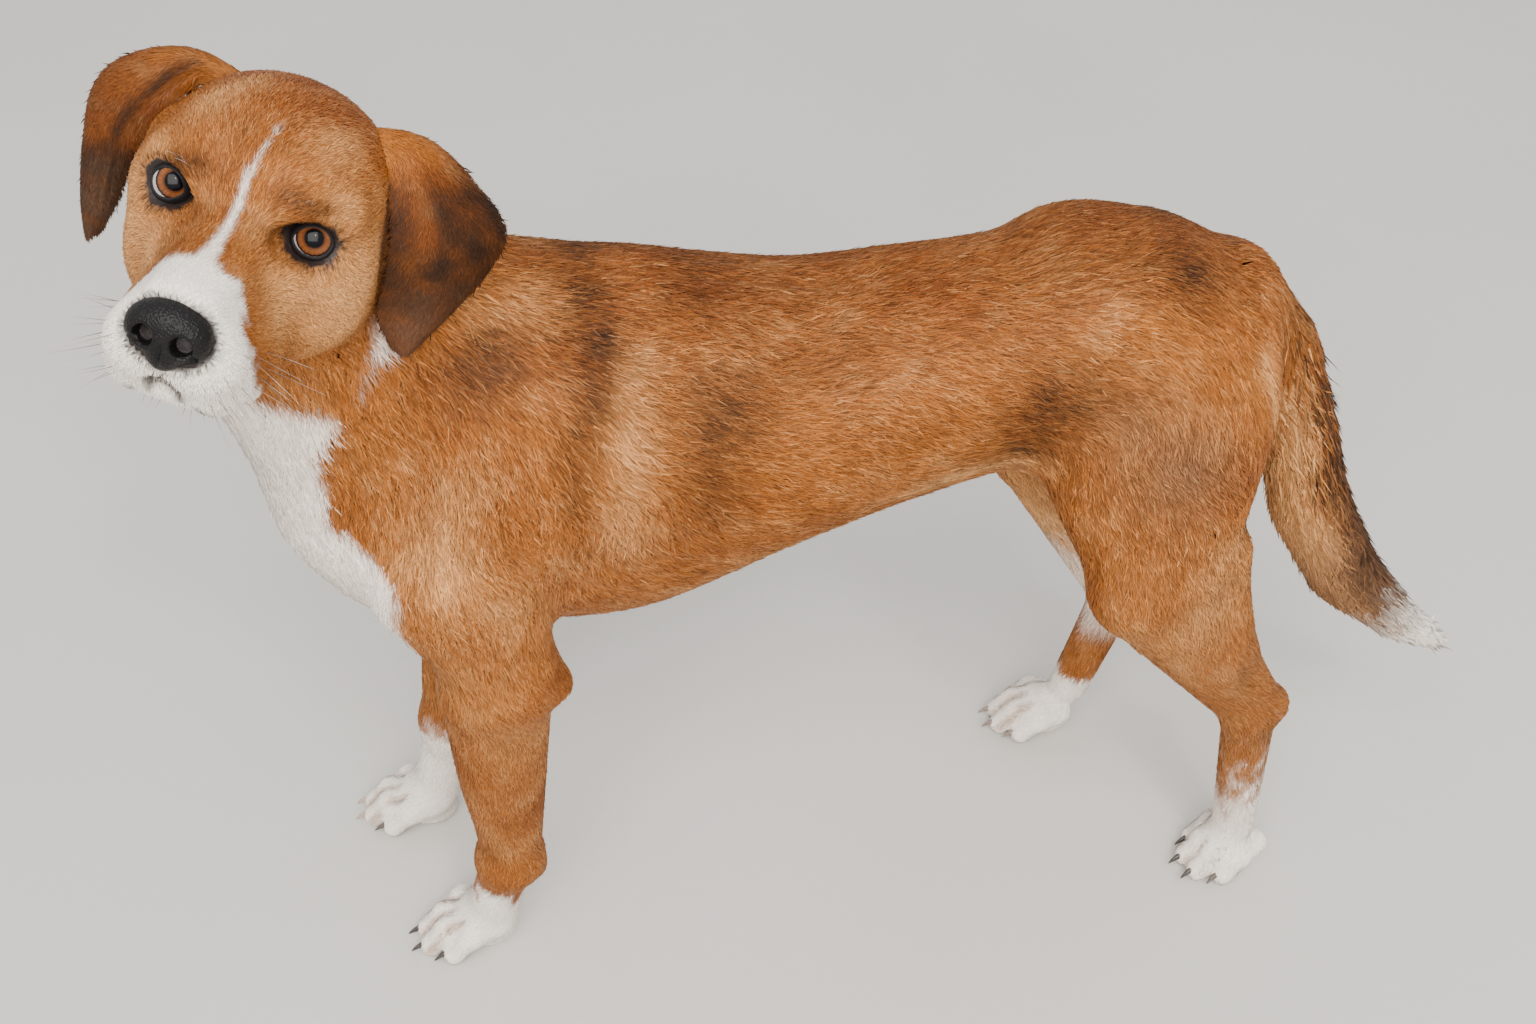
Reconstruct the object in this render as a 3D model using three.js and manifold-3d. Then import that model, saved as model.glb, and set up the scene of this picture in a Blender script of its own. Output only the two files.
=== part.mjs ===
// A medium-sized, short-coated dog that stands still and looks round to its left, at life size.
// Millimetres. +X is the dog's left, -Y is the way its trunk faces and +Z is up; the floor is z = 0.
// The flesh is one field: round-ended limbs and balls joined by soft blends, negative inside. The field
// is meshed once for each named part, inside that part's own box and at that part's own grid step, and
// trimmed to thin planar cuts, so the neighbours meet face to face. Claws, eyes, the nose leather and the
// ear flaps are pieces of their own.
import * as THREE from "three";
import { mergeVertices } from "three/addons/utils/BufferGeometryUtils.js";
import Module from "manifold-3d";

const wasm = await Module();
wasm.setup();

// ---------------------------------------------------------------- driving dimensions
const CUT = 0.35; // gap left by a cut between two parts of the flesh
const EYE_GAP = 0.35; // between an eyeball and its socket
const PIECE_GAP = 0.9; // round the nose leather, and from an ear flap to the head and neck
const CLAW_GAP = 0.45; // from a claw to its toe
const EYE_RADIUS = 11.8;
const EYE_DEPTH = -9.5; // along the muzzle from the point midway between the pupils
// How far each eyeball's centre lies to the left of that point and above it.
const EYE_PLACES = { left: [34, -5], right: [-38.5, -1.8] };
const EAR_THICKNESS = 6;
const EAR_CAMBER = 7; // how far an ear flap bulges out between its two edges
const CLAW_LENGTH = 8;
const CLAW_RADIUS = 3.3;
const TOE_RADIUS = 10;
const PAW_WIDTH = 17; // from a paw's middle to its outer toes' roots

const v = (x, y, z) => new THREE.Vector3(x, y, z);

// ---------------------------------------------------------------- frames
// A frame turns its own (left, forward, up) coordinates into the dog's.
class Frame {
  constructor(origin, left, forward, up) {
    Object.assign(this, { origin, left, forward, up });
  }
  point(l, f, u) {
    return this.origin
      .clone()
      .addScaledVector(this.left, l)
      .addScaledVector(this.forward, f)
      .addScaledVector(this.up, u);
  }
}

// A level frame on the floor or in the trunk, turned outwards (to the left) by a number of degrees.
function levelFrame(origin, turnDegrees = 0) {
  const a = THREE.MathUtils.degToRad(turnDegrees);
  const left = v(Math.cos(a), Math.sin(a), 0);
  const forward = v(Math.sin(a), -Math.cos(a), 0);
  return new Frame(origin, left, forward, v(0, 0, 1));
}

// The head's frame: origin midway between the pupils. It is turned to the left by yaw, then its muzzle is
// lifted by pitch, then it is rolled about the muzzle with the right ear going up.
const HEAD = { origin: v(79.6, -133.5, 662.9), yaw: 74.1, pitch: 14.4, roll: 17.3 };

function headFrame({ origin, yaw, pitch, roll }) {
  const [a, e, r] = [yaw, pitch, roll].map(THREE.MathUtils.degToRad);
  const forward = v(Math.sin(a) * Math.cos(e), -Math.cos(a) * Math.cos(e), Math.sin(e));
  const level = v(Math.cos(a), Math.sin(a), 0);
  const crown = level.clone().cross(forward).negate();
  const left = level.clone().multiplyScalar(Math.cos(r)).addScaledVector(crown, -Math.sin(r));
  const up = crown.clone().multiplyScalar(Math.cos(r)).addScaledVector(level, Math.sin(r));
  return new Frame(origin, left, forward, up);
}

const trunkFrame = new Frame(v(0, 0, 0), v(1, 0, 0), v(0, -1, 0), v(0, 0, 1));
const head = headFrame(HEAD);

// ---------------------------------------------------------------- fields
// First-order distance to an ellipsoid with the half-axes a, b and c, at a point in its own axes.
function ellipsoidDistance(x, y, z, a, b, c) {
  const k0 = Math.hypot(x / a, y / b, z / c);
  const k1 = Math.hypot(x / (a * a), y / (b * b), z / (c * c));
  return k1 < 1e-9 ? -Math.min(a, b, c) : (k0 * (k0 - 1)) / k1;
}

const softMin = (a, b, k) => {
  const h = Math.max(k - Math.abs(a - b), 0) / k;
  return Math.min(a, b) - (h * h * k) / 4;
};

// A ball with three half-axes along a frame's left, forward and up.
function ball(frame, [l, f, u], [a, b, c]) {
  const centre = frame.point(l, f, u);
  const { left, forward, up } = frame;
  return (x, y, z) => {
    const [dx, dy, dz] = [x - centre.x, y - centre.y, z - centre.z];
    return ellipsoidDistance(
      dx * left.x + dy * left.y + dz * left.z,
      dx * forward.x + dy * forward.y + dz * forward.z,
      dx * up.x + dy * up.y + dz * up.z,
      a, b, c,
    );
  };
}

// A limb from one point to another. Its section is an ellipse: a half-width along the frame's left, and a
// half-depth square to that and to the limb. Both change evenly from the start's values to the end's.
function limb(frame, from, to, [width0, depth0], [width1, depth1]) {
  const a = frame.point(...from);
  const along = frame.point(...to).sub(a);
  const length = along.length();
  const axis = along.clone().normalize();
  const side = frame.left.clone().addScaledVector(axis, -frame.left.dot(axis)).normalize();
  const deep = axis.clone().cross(side);
  return (x, y, z) => {
    const [dx, dy, dz] = [x - a.x, y - a.y, z - a.z];
    const s = dx * axis.x + dy * axis.y + dz * axis.z;
    const t = Math.min(Math.max(s / length, 0), 1);
    const width = width0 + (width1 - width0) * t;
    const depth = depth0 + (depth1 - depth0) * t;
    return ellipsoidDistance(
      dx * side.x + dy * side.y + dz * side.z,
      dx * deep.x + dy * deep.y + dz * deep.z,
      s - t * length,
      width, depth, Math.min(width, depth),
    );
  };
}

// A smooth curve through the values at rising places; beyond the ends it keeps the end values.
function smoothCurve(places, values) {
  const last = places.length - 1;
  const slope = (i) => {
    const [a, b] = [Math.max(i - 1, 0), Math.min(i + 1, last)];
    return (values[b] - values[a]) / (places[b] - places[a]);
  };
  const slopes = places.map((_, i) => slope(i));
  return (x) => {
    if (x <= places[0]) return values[0];
    if (x >= places[last]) return values[last];
    const i = places.findIndex((place) => place > x) - 1;
    const span = places[i + 1] - places[i];
    const t = (x - places[i]) / span;
    const [t2, t3] = [t * t, t * t * t];
    return (
      (2 * t3 - 3 * t2 + 1) * values[i] +
      (t3 - 2 * t2 + t) * span * slopes[i] +
      (3 * t2 - 2 * t3) * values[i + 1] +
      (t3 - t2) * span * slopes[i + 1]
    );
  };
}

// A barrel along the y axis through upright elliptic sections. Its lower half narrows by the share keel,
// and each end closes in a dome of the length cap.
function barrel(sections, keel, cap) {
  const places = sections.map(({ y }) => y);
  const [height, width, depth] = ["z", "width", "depth"].map((key) =>
    smoothCurve(places, sections.map((section) => section[key])),
  );
  return (x, y, z) => {
    const yIn = Math.min(Math.max(y, places[0]), places[places.length - 1]);
    const [a, c] = [width(yIn), depth(yIn)];
    const rise = (z - height(yIn)) / c;
    const spread = 1 + keel * Math.min(Math.max(rise, -1), 0.3);
    return ellipsoidDistance(x / spread, rise * c, y - yIn, a, c, cap);
  };
}

// Joins fields one after another, each with its own blend: [blend, field] pairs.
function join(...pairs) {
  return (x, y, z) => pairs.reduce((d, [k, field]) => softMin(d, field(x, y, z), k), 1e3);
}

// Presses a soft hollow of the shape of the tool into a field.
function press(field, tool, k) {
  return (x, y, z) => -softMin(-field(x, y, z), tool(x, y, z), k);
}

// ---------------------------------------------------------------- trunk and neck
const bothSides = (make) => [-1, 1].map((side) => make(side)).flat();

// Sections of the ribcage, loin and pelvis, from the shoulders to the rump.
const BARREL = [
  { y: -30, z: 438, width: 88, depth: 118 },
  { y: 45, z: 437, width: 91, depth: 121 },
  { y: 116, z: 435, width: 91, depth: 107 },
  { y: 167, z: 441, width: 88, depth: 91 },
  { y: 225, z: 452, width: 82, depth: 82 },
  { y: 290, z: 462, width: 76, depth: 77 },
  { y: 340, z: 470, width: 76, depth: 80 },
  { y: 396, z: 463, width: 76, depth: 84 },
  { y: 438, z: 451, width: 64, depth: 74 },
];
const BARREL_KEEL = 0.14;
const BARREL_CAP = 34;

function trunkField() {
  const t = trunkFrame;
  return join(
    [1, barrel(BARREL, BARREL_KEEL, BARREL_CAP)],
    [40, ball(t, [0, 72, 399], [70, 82, 88])], // forechest
    [30, ball(t, [0, -30, 380], [70, 104, 76])], // brisket
    [26, limb(t, [0, 22, 512], [0, -60, 520], [24, 32], [20, 24])], // withers
    ...bothSides((s) => [
      [30, limb(t, [s * 50, -15, 500], [s * 72, 60, 395], [26, 50], [30, 40])], // shoulder blade
      [26, limb(t, [s * 70, 64, 385], [s * 79, 34, 320], [34, 44], [30, 34])], // upper arm
      [24, ball(t, [s * 32, -342, 518], [24, 32, 21])], // point of the hip
      [20, ball(t, [s * 46, -424, 425], [34, 34, 46])], // buttock
    ]),
  );
}

function neckField() {
  return join(
    [1, limb(trunkFrame, [0, 62, 462], [8, 132, 596], [72, 98], [57, 62])], // neck
    [26, limb(trunkFrame, [0, 0, 506], [-4, 100, 602], [38, 38], [38, 36])], // crest of the neck
    [26, limb(trunkFrame, [0, 110, 420], [16, 140, 545], [44, 50], [44, 48])], // throat
  );
}

// ---------------------------------------------------------------- legs
// Places of the leg joints as [left, forward, up] in the trunk's frame. The right hind foot stands
// further forward than the left one, and the right forefoot a little ahead of its fellow.
const FORELEGS = {
  left: {
    elbow: [80, 42, 296], wrist: [66, 48, 108], knuckle: [54, 64, 36],
    foot: [50, 69], turn: 6, reach: 44,
  },
  right: {
    elbow: [-80, 48, 296], wrist: [-70, 80, 108], knuckle: [-71, 99, 36],
    foot: [-71, 106], turn: -3, reach: 44,
  },
};
const HIND_LEGS = {
  left: {
    hip: [50, -378, 430], knee: [82, -398, 334], stifle: [88, -374, 320], shank: [86, -412, 292],
    hock: [82, -486, 180], heel: [82, -501, 186], pastern: [78, -502, 46],
    foot: [77, -503], turn: 16, reach: 32,
  },
  right: {
    hip: [-50, -374, 430], knee: [-80, -366, 336], stifle: [-86, -340, 324], shank: [-84, -372, 296],
    hock: [-77, -443, 148], heel: [-77, -460, 156], pastern: [-79, -419, 46],
    foot: [-81, -402], turn: -4, reach: 38,
  },
};
// The four toes of a paw, from its right to its left: where each stands across the paw, in half-widths of
// the paw, and how much shorter than the paw's reach it is.
const TOES = [
  { across: -1, short: 15 },
  { across: -0.38, short: 0 },
  { across: 0.38, short: 0 },
  { across: 1, short: 15 },
];

const pawFrame = (leg) => levelFrame(trunkFrame.point(...leg.foot, 0), leg.turn);
// The points of one toe in its paw's frame: where it leaves the paw, its knuckle and its tip.
function toePoints(leg, { across, short }) {
  const l = across * PAW_WIDTH;
  const reach = leg.reach - short;
  return { base: [l * 0.7, reach - 32, 23], knuckle: [l, reach - 14, 22], tip: [l * 1.15, reach, 9.5] };
}

function pawField(leg) {
  const f = pawFrame(leg);
  const toes = TOES.map((toe) => {
    const { base, knuckle, tip } = toePoints(leg, toe);
    return [
      3,
      join(
        [1, limb(f, base, knuckle, [TOE_RADIUS, TOE_RADIUS], [TOE_RADIUS, TOE_RADIUS])],
        [5, limb(f, knuckle, tip, [TOE_RADIUS, TOE_RADIUS], [TOE_RADIUS - 1, TOE_RADIUS - 1])],
      ),
    ];
  });
  return join(
    [1, ball(f, [0, 6, 20], [22, 24, 19])], // body of the paw
    [6, ball(f, [0, 0, 8], [18, 20, 12])], // main pad
    ...toes,
  );
}

function forelegField(leg) {
  const t = trunkFrame;
  const s = Math.sign(leg.elbow[0]);
  const [x, y, z] = leg.elbow;
  return join(
    [1, limb(t, leg.elbow, leg.wrist, [27, 36], [20, 23])], // forearm
    [10, ball(t, [x + s * 2, y - 35, z + 2], [9, 10, 11])], // point of the elbow
    [14, ball(t, leg.wrist, [19, 21, 22])], // wrist
    [8, ball(t, [leg.wrist[0], leg.wrist[1] - 18, leg.wrist[2] - 14], [8, 8, 9])], // pad of the wrist
    [14, limb(t, leg.wrist, leg.knuckle, [18, 19], [19, 18])], // pastern
    [14, pawField(leg)],
  );
}

function hindLegField(leg) {
  const t = trunkFrame;
  const tendon = [leg.shank[0], leg.heel[1] + 42, 256];
  const hamstring = [leg.knee[0] - 6 * Math.sign(leg.knee[0]), leg.knee[1] - 44, leg.knee[2] + 6];
  return join(
    [1, limb(t, leg.hip, leg.knee, [38, 74], [31, 50])], // thigh
    [24, ball(t, leg.stifle, [24, 25, 29])], // stifle
    [28, limb(t, leg.shank, leg.hock, [27, 37], [14, 19])], // shank
    [22, limb(t, hamstring, tendon, [20, 15], [9, 10])], // back of the thigh
    [10, limb(t, tendon, leg.heel, [10, 10], [9, 10])], // tendon of the heel
    [8, ball(t, leg.heel, [12, 12, 14])], // point of the hock
    [12, limb(t, leg.hock, leg.pastern, [16, 20], [15, 16])], // hind pastern
    [14, pawField(leg)],
  );
}

// ---------------------------------------------------------------- tail
const TAIL = [
  { at: [0, -442, 492], r: 29 },
  { at: [0, -483, 448], r: 26 },
  { at: [2, -509, 381], r: 27 },
  { at: [4, -535, 305], r: 29 },
  { at: [8, -577, 233], r: 27 },
  { at: [12, -630, 180], r: 18 },
  { at: [16, -688, 138], r: 5 },
];
const TAIL_BLEND = 3;

function tailField() {
  const lengths = TAIL.slice(1).map((end, i) => {
    const start = TAIL[i];
    return [
      TAIL_BLEND,
      limb(trunkFrame, start.at, end.at, [start.r * 0.9, start.r], [end.r * 0.9, end.r]),
    ];
  });
  return join(...lengths);
}

// ---------------------------------------------------------------- head
function headField() {
  const h = head;
  const solid = join(
    [1, ball(h, [0, -50, 8], [58, 56, 46])], // braincase
    [22, ball(h, [0, -18, 8], [44, 32, 30])], // forehead
    ...bothSides((s) => [
      [20, ball(h, [s * 33, -35, -36], [31, 43, 42])], // cheek
      [12, limb(h, [s * 20, 1, 11], [s * 43, -15, 10], [10, 11], [9, 10])], // brow
      [14, limb(h, [s * 27, 6, -26], [s * 46, -24, -17], [10, 12], [12, 14])], // cheekbone
    ]),
    [16, limb(h, [0, -4, -32], [0, 62, -38], [33, 33], [27, 23])], // muzzle
    [12, limb(h, [0, 4, -7], [0, 72, -20], [17, 10], [15, 8])], // bridge of the nose
    ...bothSides((s) => [
      [10, limb(h, [s * 14, 66, -49], [s * 20, 32, -58], [20, 19], [18, 24])], // upper lip
      [10, limb(h, [s * 20, 32, -58], [s * 27, -12, -54], [18, 24], [18, 26])], // corner of the lip
      [8, ball(h, [s * 19, 48, -64], [18, 26, 19])], // flew
    ]),
    [8, limb(h, [0, 60, -69], [0, -34, -70], [17, 11], [34, 28])], // lower jaw
  );
  const sockets = Object.values(EYE_PLACES).map(([l, u]) => ball(h, [l, 9, u + 2], [16, 16, 11]));
  return sockets.reduce((field, socket) => press(field, socket, 6), solid);
}

// ---------------------------------------------------------------- the whole flesh
const legFields = {
  left_foreleg: forelegField(FORELEGS.left),
  right_foreleg: forelegField(FORELEGS.right),
  left_hind_leg: hindLegField(HIND_LEGS.left),
  right_hind_leg: hindLegField(HIND_LEGS.right),
};
const flesh = join(
  [1, trunkField()],
  [36, neckField()],
  [22, tailField()],
  ...Object.values(legFields).map((field) => [30, field]),
  [20, headField()],
);
const onFloor = (x, y, z) => Math.max(flesh(x, y, z), -z);

// ---------------------------------------------------------------- meshing
const AXES = ["x", "y", "z"];
const CORNERS = [0, 1, 2, 3, 4, 5, 6, 7].map((c) => [c & 1, (c >> 1) & 1, (c >> 2) & 1]);
const EDGES = CORNERS.flatMap((_, p) => [1, 2, 4].filter((bit) => !(p & bit)).map((bit) => [p, p | bit]));

// Surface nets on a grid whose cells have the size step: one vertex in each cell that the surface crosses,
// at the mean of the crossings on the cell's edges, then moved on to the surface; and one quad round each
// grid edge that crosses it. Just outside the box the field counts as empty, which closes the net. The
// nudge moves the grid sideways by a share of a step.
function polygonise(field, box, step, nudge = 0) {
  const lowest = box.min.clone().addScaledVector(step, nudge - 1);
  lowest.z = box.min.z - step.z;
  const outer = new THREE.Box3(lowest, box.max.clone().add(step));
  const size = outer.getSize(v());
  const [nx, ny, nz] = AXES.map((axis) => Math.ceil(size[axis] / step[axis]) + 1);
  const at = (i, j, k) => i + nx * (j + ny * k);
  const place = (i, j, k) => [outer.min.x + i * step.x, outer.min.y + j * step.y, outer.min.z + k * step.z];
  const values = new Float32Array(nx * ny * nz);
  for (let k = 0; k < nz; k++)
    for (let j = 0; j < ny; j++)
      for (let i = 0; i < nx; i++) {
        const rim = Math.min(i, j, k, nx - 1 - i, ny - 1 - j, nz - 1 - k) === 0;
        values[at(i, j, k)] = rim ? step.x : field(...place(i, j, k));
      }
  const positions = [];
  const cellVertex = new Int32Array(nx * ny * nz).fill(-1);
  for (let k = 0; k < nz - 1; k++)
    for (let j = 0; j < ny - 1; j++)
      for (let i = 0; i < nx - 1; i++) {
        const cell = CORNERS.map(([a, b, c]) => values[at(i + a, j + b, k + c)]);
        const crossed = EDGES.filter(([p, q]) => cell[p] < 0 !== cell[q] < 0);
        if (!crossed.length) continue;
        const mean = [0, 0, 0];
        for (const [p, q] of crossed) {
          const t = cell[p] / (cell[p] - cell[q]);
          for (let c = 0; c < 3; c++)
            mean[c] += (CORNERS[p][c] + t * (CORNERS[q][c] - CORNERS[p][c])) / crossed.length;
        }
        cellVertex[at(i, j, k)] = positions.length / 3;
        positions.push(...settle(field, place(i + mean[0], j + mean[1], k + mean[2]), step.x / 2));
      }
  const index = [];
  const quad = (a, b, c, d, turned) => {
    const [p, q, r, s] = turned ? [a, d, c, b] : [a, b, c, d];
    index.push(p, q, r, p, r, s);
  };
  for (let k = 0; k < nz - 1; k++)
    for (let j = 0; j < ny - 1; j++)
      for (let i = 0; i < nx - 1; i++) {
        const here = values[at(i, j, k)] < 0;
        const cell = (a, b, c) => cellVertex[at(i - a, j - b, k - c)];
        if (j && k && here !== values[at(i + 1, j, k)] < 0)
          quad(cell(0, 1, 1), cell(0, 0, 1), cell(0, 0, 0), cell(0, 1, 0), !here);
        if (i && k && here !== values[at(i, j + 1, k)] < 0)
          quad(cell(1, 0, 1), cell(1, 0, 0), cell(0, 0, 0), cell(0, 0, 1), !here);
        if (i && j && here !== values[at(i, j, k + 1)] < 0)
          quad(cell(1, 1, 0), cell(0, 1, 0), cell(0, 0, 0), cell(1, 0, 0), !here);
      }
  return solid(positions, index);
}

// Moves a point on to the field's surface by two Newton steps of a limited length.
function settle(field, [x, y, z], longest) {
  const e = 0.25;
  const flattest = 0.05; // least squared slope, so that no step runs away
  for (let turn = 0; turn < 2; turn++) {
    const gx = (field(x + e, y, z) - field(x - e, y, z)) / (2 * e);
    const gy = (field(x, y + e, z) - field(x, y - e, z)) / (2 * e);
    const gz = (field(x, y, z + e) - field(x, y, z - e)) / (2 * e);
    const slope = Math.max(gx * gx + gy * gy + gz * gz, flattest);
    const move = THREE.MathUtils.clamp(field(x, y, z) / slope, -longest, longest);
    x -= gx * move;
    y -= gy * move;
    z -= gz * move;
  }
  return [x, y, z];
}

// ---------------------------------------------------------------- solids
function solid(positions, index) {
  const mesh = new wasm.Mesh({
    numProp: 3,
    vertProperties: new Float32Array(positions),
    triVerts: new Uint32Array(index),
  });
  return new wasm.Manifold(mesh);
}

function solidOf(geometry) {
  const bare = geometry.clone();
  bare.deleteAttribute("normal");
  bare.deleteAttribute("uv");
  const merged = mergeVertices(bare, 1e-3);
  return solid(merged.attributes.position.array, merged.index.array);
}

function geometryOf(manifold) {
  const { vertProperties, triVerts } = manifold.getMesh();
  const geometry = new THREE.BufferGeometry();
  geometry.setAttribute("position", new THREE.BufferAttribute(vertProperties, 3));
  geometry.setIndex(new THREE.BufferAttribute(triVerts, 1));
  geometry.computeVertexNormals();
  return geometry;
}

// Whether a solid stays closed when corners closer than the tolerance become one: each edge has two faces.
const WELD = 2e-3;
function isTight(manifold) {
  const { vertProperties, triVerts } = manifold.getMesh();
  const welded = new Map();
  const corner = (i) => {
    const place = vertProperties.slice(3 * i, 3 * i + 3).map((p) => Math.round(p / WELD));
    const key = place.join();
    if (!welded.has(key)) welded.set(key, welded.size);
    return welded.get(key);
  };
  const uses = new Map();
  for (let i = 0; i < triVerts.length; i += 3) {
    const [a, b, c] = [0, 1, 2].map((j) => corner(triVerts[i + j]));
    for (const [p, q] of [[a, b], [b, c], [c, a]]) {
      const key = `${Math.min(p, q)},${Math.max(p, q)}`;
      uses.set(key, (uses.get(key) ?? 0) + 1);
    }
  }
  return [...uses.values()].every((count) => count === 2);
}

// Makes a solid on differently nudged grids until no two folds of its surface share an edge.
const NUDGES = 12;
function tightest(make) {
  for (let i = 0; i < NUDGES; i++) {
    const made = make(i / NUDGES);
    if (isTight(made)) return made;
  }
  throw new Error("no grid gives a clean surface");
}

// A copy of a rounded solid with every corner moved outwards along its normal.
function grown(manifold, by) {
  const { position, normal } = geometryOf(manifold).attributes;
  const positions = position.array.map((p, i) => p + by * normal.array[i]);
  return solid(positions, manifold.getMesh().triVerts);
}

const largest = (manifold) => manifold.decompose().sort((a, b) => b.volume() - a.volume())[0];

// A cut through the flesh: its plane passes through a point, and keeps what is on its normal's side.
const plane = (point, normal) => new THREE.Plane().setFromNormalAndCoplanarPoint(normal.normalize(), point);
const opposite = (cut) => cut.clone().negate();

// The block of space on the kept side of a plane, half a cut's width away from it.
const REACH = 2000;
function keptSide(cut) {
  const block = new THREE.BoxGeometry(REACH, REACH, REACH);
  block.translate(0, 0, REACH / 2 + CUT / 2);
  block.applyQuaternion(new THREE.Quaternion().setFromUnitVectors(v(0, 0, 1), cut.normal));
  const foot = cut.coplanarPoint(v());
  return solidOf(block.translate(foot.x, foot.y, foot.z));
}

// One named part of the flesh: meshed a little past its cuts, then trimmed to them and to its beds.
const OVERRUN = 1.6; // in grid steps
function fleshPart({ box, cuts, step, beds = [] }) {
  const margin = OVERRUN * Math.max(step.x, step.y, step.z);
  const past = (x, y, z) => (d, cut) => Math.max(d, -cut.distanceToPoint(v(x, y, z)) - margin);
  const field = (x, y, z) => cuts.reduce(past(x, y, z), onFloor(x, y, z));
  return tightest((nudge) => {
    const rough = polygonise(field, box, step, nudge);
    const trimmed = cuts.reduce((piece, cut) => piece.intersect(keptSide(cut)), rough);
    return largest(beds.reduce((piece, bed) => piece.subtract(bed), trimmed));
  });
}

// ---------------------------------------------------------------- the parts of the flesh
const trunkPoint = (l, f, u) => trunkFrame.point(l, f, u);
const faceward = head.forward.clone().multiplyScalar(0.75).add(v(0.15, -0.2, 0.5));
const cuts = {
  neckFront: plane(head.point(0, -92, -30), faceward),
  shoulders: plane(trunkPoint(0, 62, 500), v(0, -0.72, 0.52)),
  tailRoot: plane(trunkPoint(0, -469, 470), v(0, 1, 0)),
  elbows: plane(trunkPoint(0, 0, 297), v(0, 0, -1)),
  groin: plane(trunkPoint(0, -400, 386), v(0, 0.18, -1)),
  wrists: plane(trunkPoint(0, 0, 84), v(0, 0, -1)),
  hocks: plane(trunkPoint(0, 0, 205), v(0, 0, -1)),
  hindPasterns: plane(trunkPoint(0, 0, 66), v(0, 0, -1)),
  midTail: plane(trunkPoint(4, -538, 290), v(0.02, 0.6, -0.8)),
};

// The two opposite corners of a box, in any order.
const boxOf = (...corners) => new THREE.Box3().setFromPoints(corners.map((corner) => v(...corner)));

const PARTS = {
  head: { box: boxOf([-70, -235, 540], [220, -20, 750]), step: v(12, 12, 12), cuts: [cuts.neckFront] },
  neck: {
    box: boxOf([-110, -230, 360], [130, 70, 720]),
    step: v(26, 26, 28),
    cuts: [opposite(cuts.neckFront), cuts.shoulders],
  },
  trunk: {
    box: boxOf([-150, -190, 270], [150, 520, 600]),
    step: v(29, 41, 29),
    cuts: [opposite(cuts.shoulders), opposite(cuts.tailRoot), opposite(cuts.elbows), opposite(cuts.groin)],
  },
  tail_root: {
    box: boxOf([-60, 440, 260], [70, 620, 560]),
    step: v(20, 24, 32),
    cuts: [cuts.tailRoot, opposite(cuts.midTail)],
  },
  tail_tip: { box: boxOf([-60, 480, 110], [70, 720, 330]), step: v(17, 21, 21), cuts: [cuts.midTail] },
};

// The lengths of a leg: two opposite corners of each one's box as [outwards, y, z], its grid step, the cut
// at its upper end and the one at its lower end. Each box lies wholly on its own side of the dog.
const LEG_LENGTHS = {
  foreleg: { from: [4, -120, 70], to: [150, 60, 325], step: [15, 16, 34], upper: "elbows", lower: "wrists" },
  forepaw: { from: [4, -190, 0], to: [150, 20, 100], step: [10, 11.5, 10], upper: "wrists" },
  thigh: { from: [26, 260, 190], to: [150, 540, 420], step: [19, 20, 24], upper: "groin", lower: "hocks" },
  hind_pastern: {
    from: [4, 380, 50], to: [150, 560, 220], step: [12, 13, 24], upper: "hocks", lower: "hindPasterns",
  },
  hind_paw: { from: [4, 320, 0], to: [150, 560, 80], step: [10, 11.5, 10], upper: "hindPasterns" },
};
for (const [side, s] of [["left", 1], ["right", -1]]) {
  const corner = ([out, y, z]) => [s * out, y, z];
  for (const [name, { from, to, step, upper, lower }] of Object.entries(LEG_LENGTHS))
    PARTS[`${side}_${name}`] = {
      box: boxOf(corner(from), corner(to)),
      step: v(...step),
      cuts: lower ? [cuts[upper], opposite(cuts[lower])] : [cuts[upper]],
    };
}

// ---------------------------------------------------------------- lattices
// A closed solid of a lattice of points: rings[i][j] goes round each ring, and both end rings are filled.
function tubeSolid(rings) {
  const sides = rings[0].length;
  const last = (rings.length - 1) * sides;
  const index = [];
  for (let i = 0; i < rings.length - 1; i++)
    for (let j = 0; j < sides; j++) {
      const [a, b] = [i * sides + j, i * sides + ((j + 1) % sides)];
      index.push(a, a + sides, b, b, a + sides, b + sides);
    }
  for (let j = 1; j < sides - 1; j++) {
    index.push(0, j, j + 1);
    index.push(last, last + j + 1, last + j);
  }
  const positions = rings.flat().flatMap((p) => p.toArray());
  const made = solid(positions, index);
  return made.volume() > 0 ? made : solid(positions, index.reverse());
}

// ---------------------------------------------------------------- eyes, nose and claws
const eyeCentre = ([l, u]) => head.point(l, EYE_DEPTH, u);

const [EYE_AROUND, EYE_RINGS] = [12, 7];
function sphereSolid(radius, centre) {
  const sphere = new THREE.SphereGeometry(radius, EYE_AROUND, EYE_RINGS);
  return solidOf(sphere.translate(centre.x, centre.y, centre.z));
}

// The nose leather: a rounded pad on the front of the muzzle, with a lobe below it and a wing each side.
function noseField() {
  return join(
    [1, ball(head, [-0.5, 80, -30], [17.5, 11, 13])],
    [6, ball(head, [0, 82, -42], [9, 8, 10])],
    ...bothSides((s) => [[6, ball(head, [s * 11.5 - 0.5, 80, -34], [9, 9, 10])]]),
  );
}
const NOSE_STEP = 7.5;
function noseSolid() {
  const box = new THREE.Box3().setFromCenterAndSize(head.point(0, 82, -34), v(70, 70, 70));
  return polygonise(noseField(), box, v(NOSE_STEP, NOSE_STEP, NOSE_STEP));
}

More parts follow.
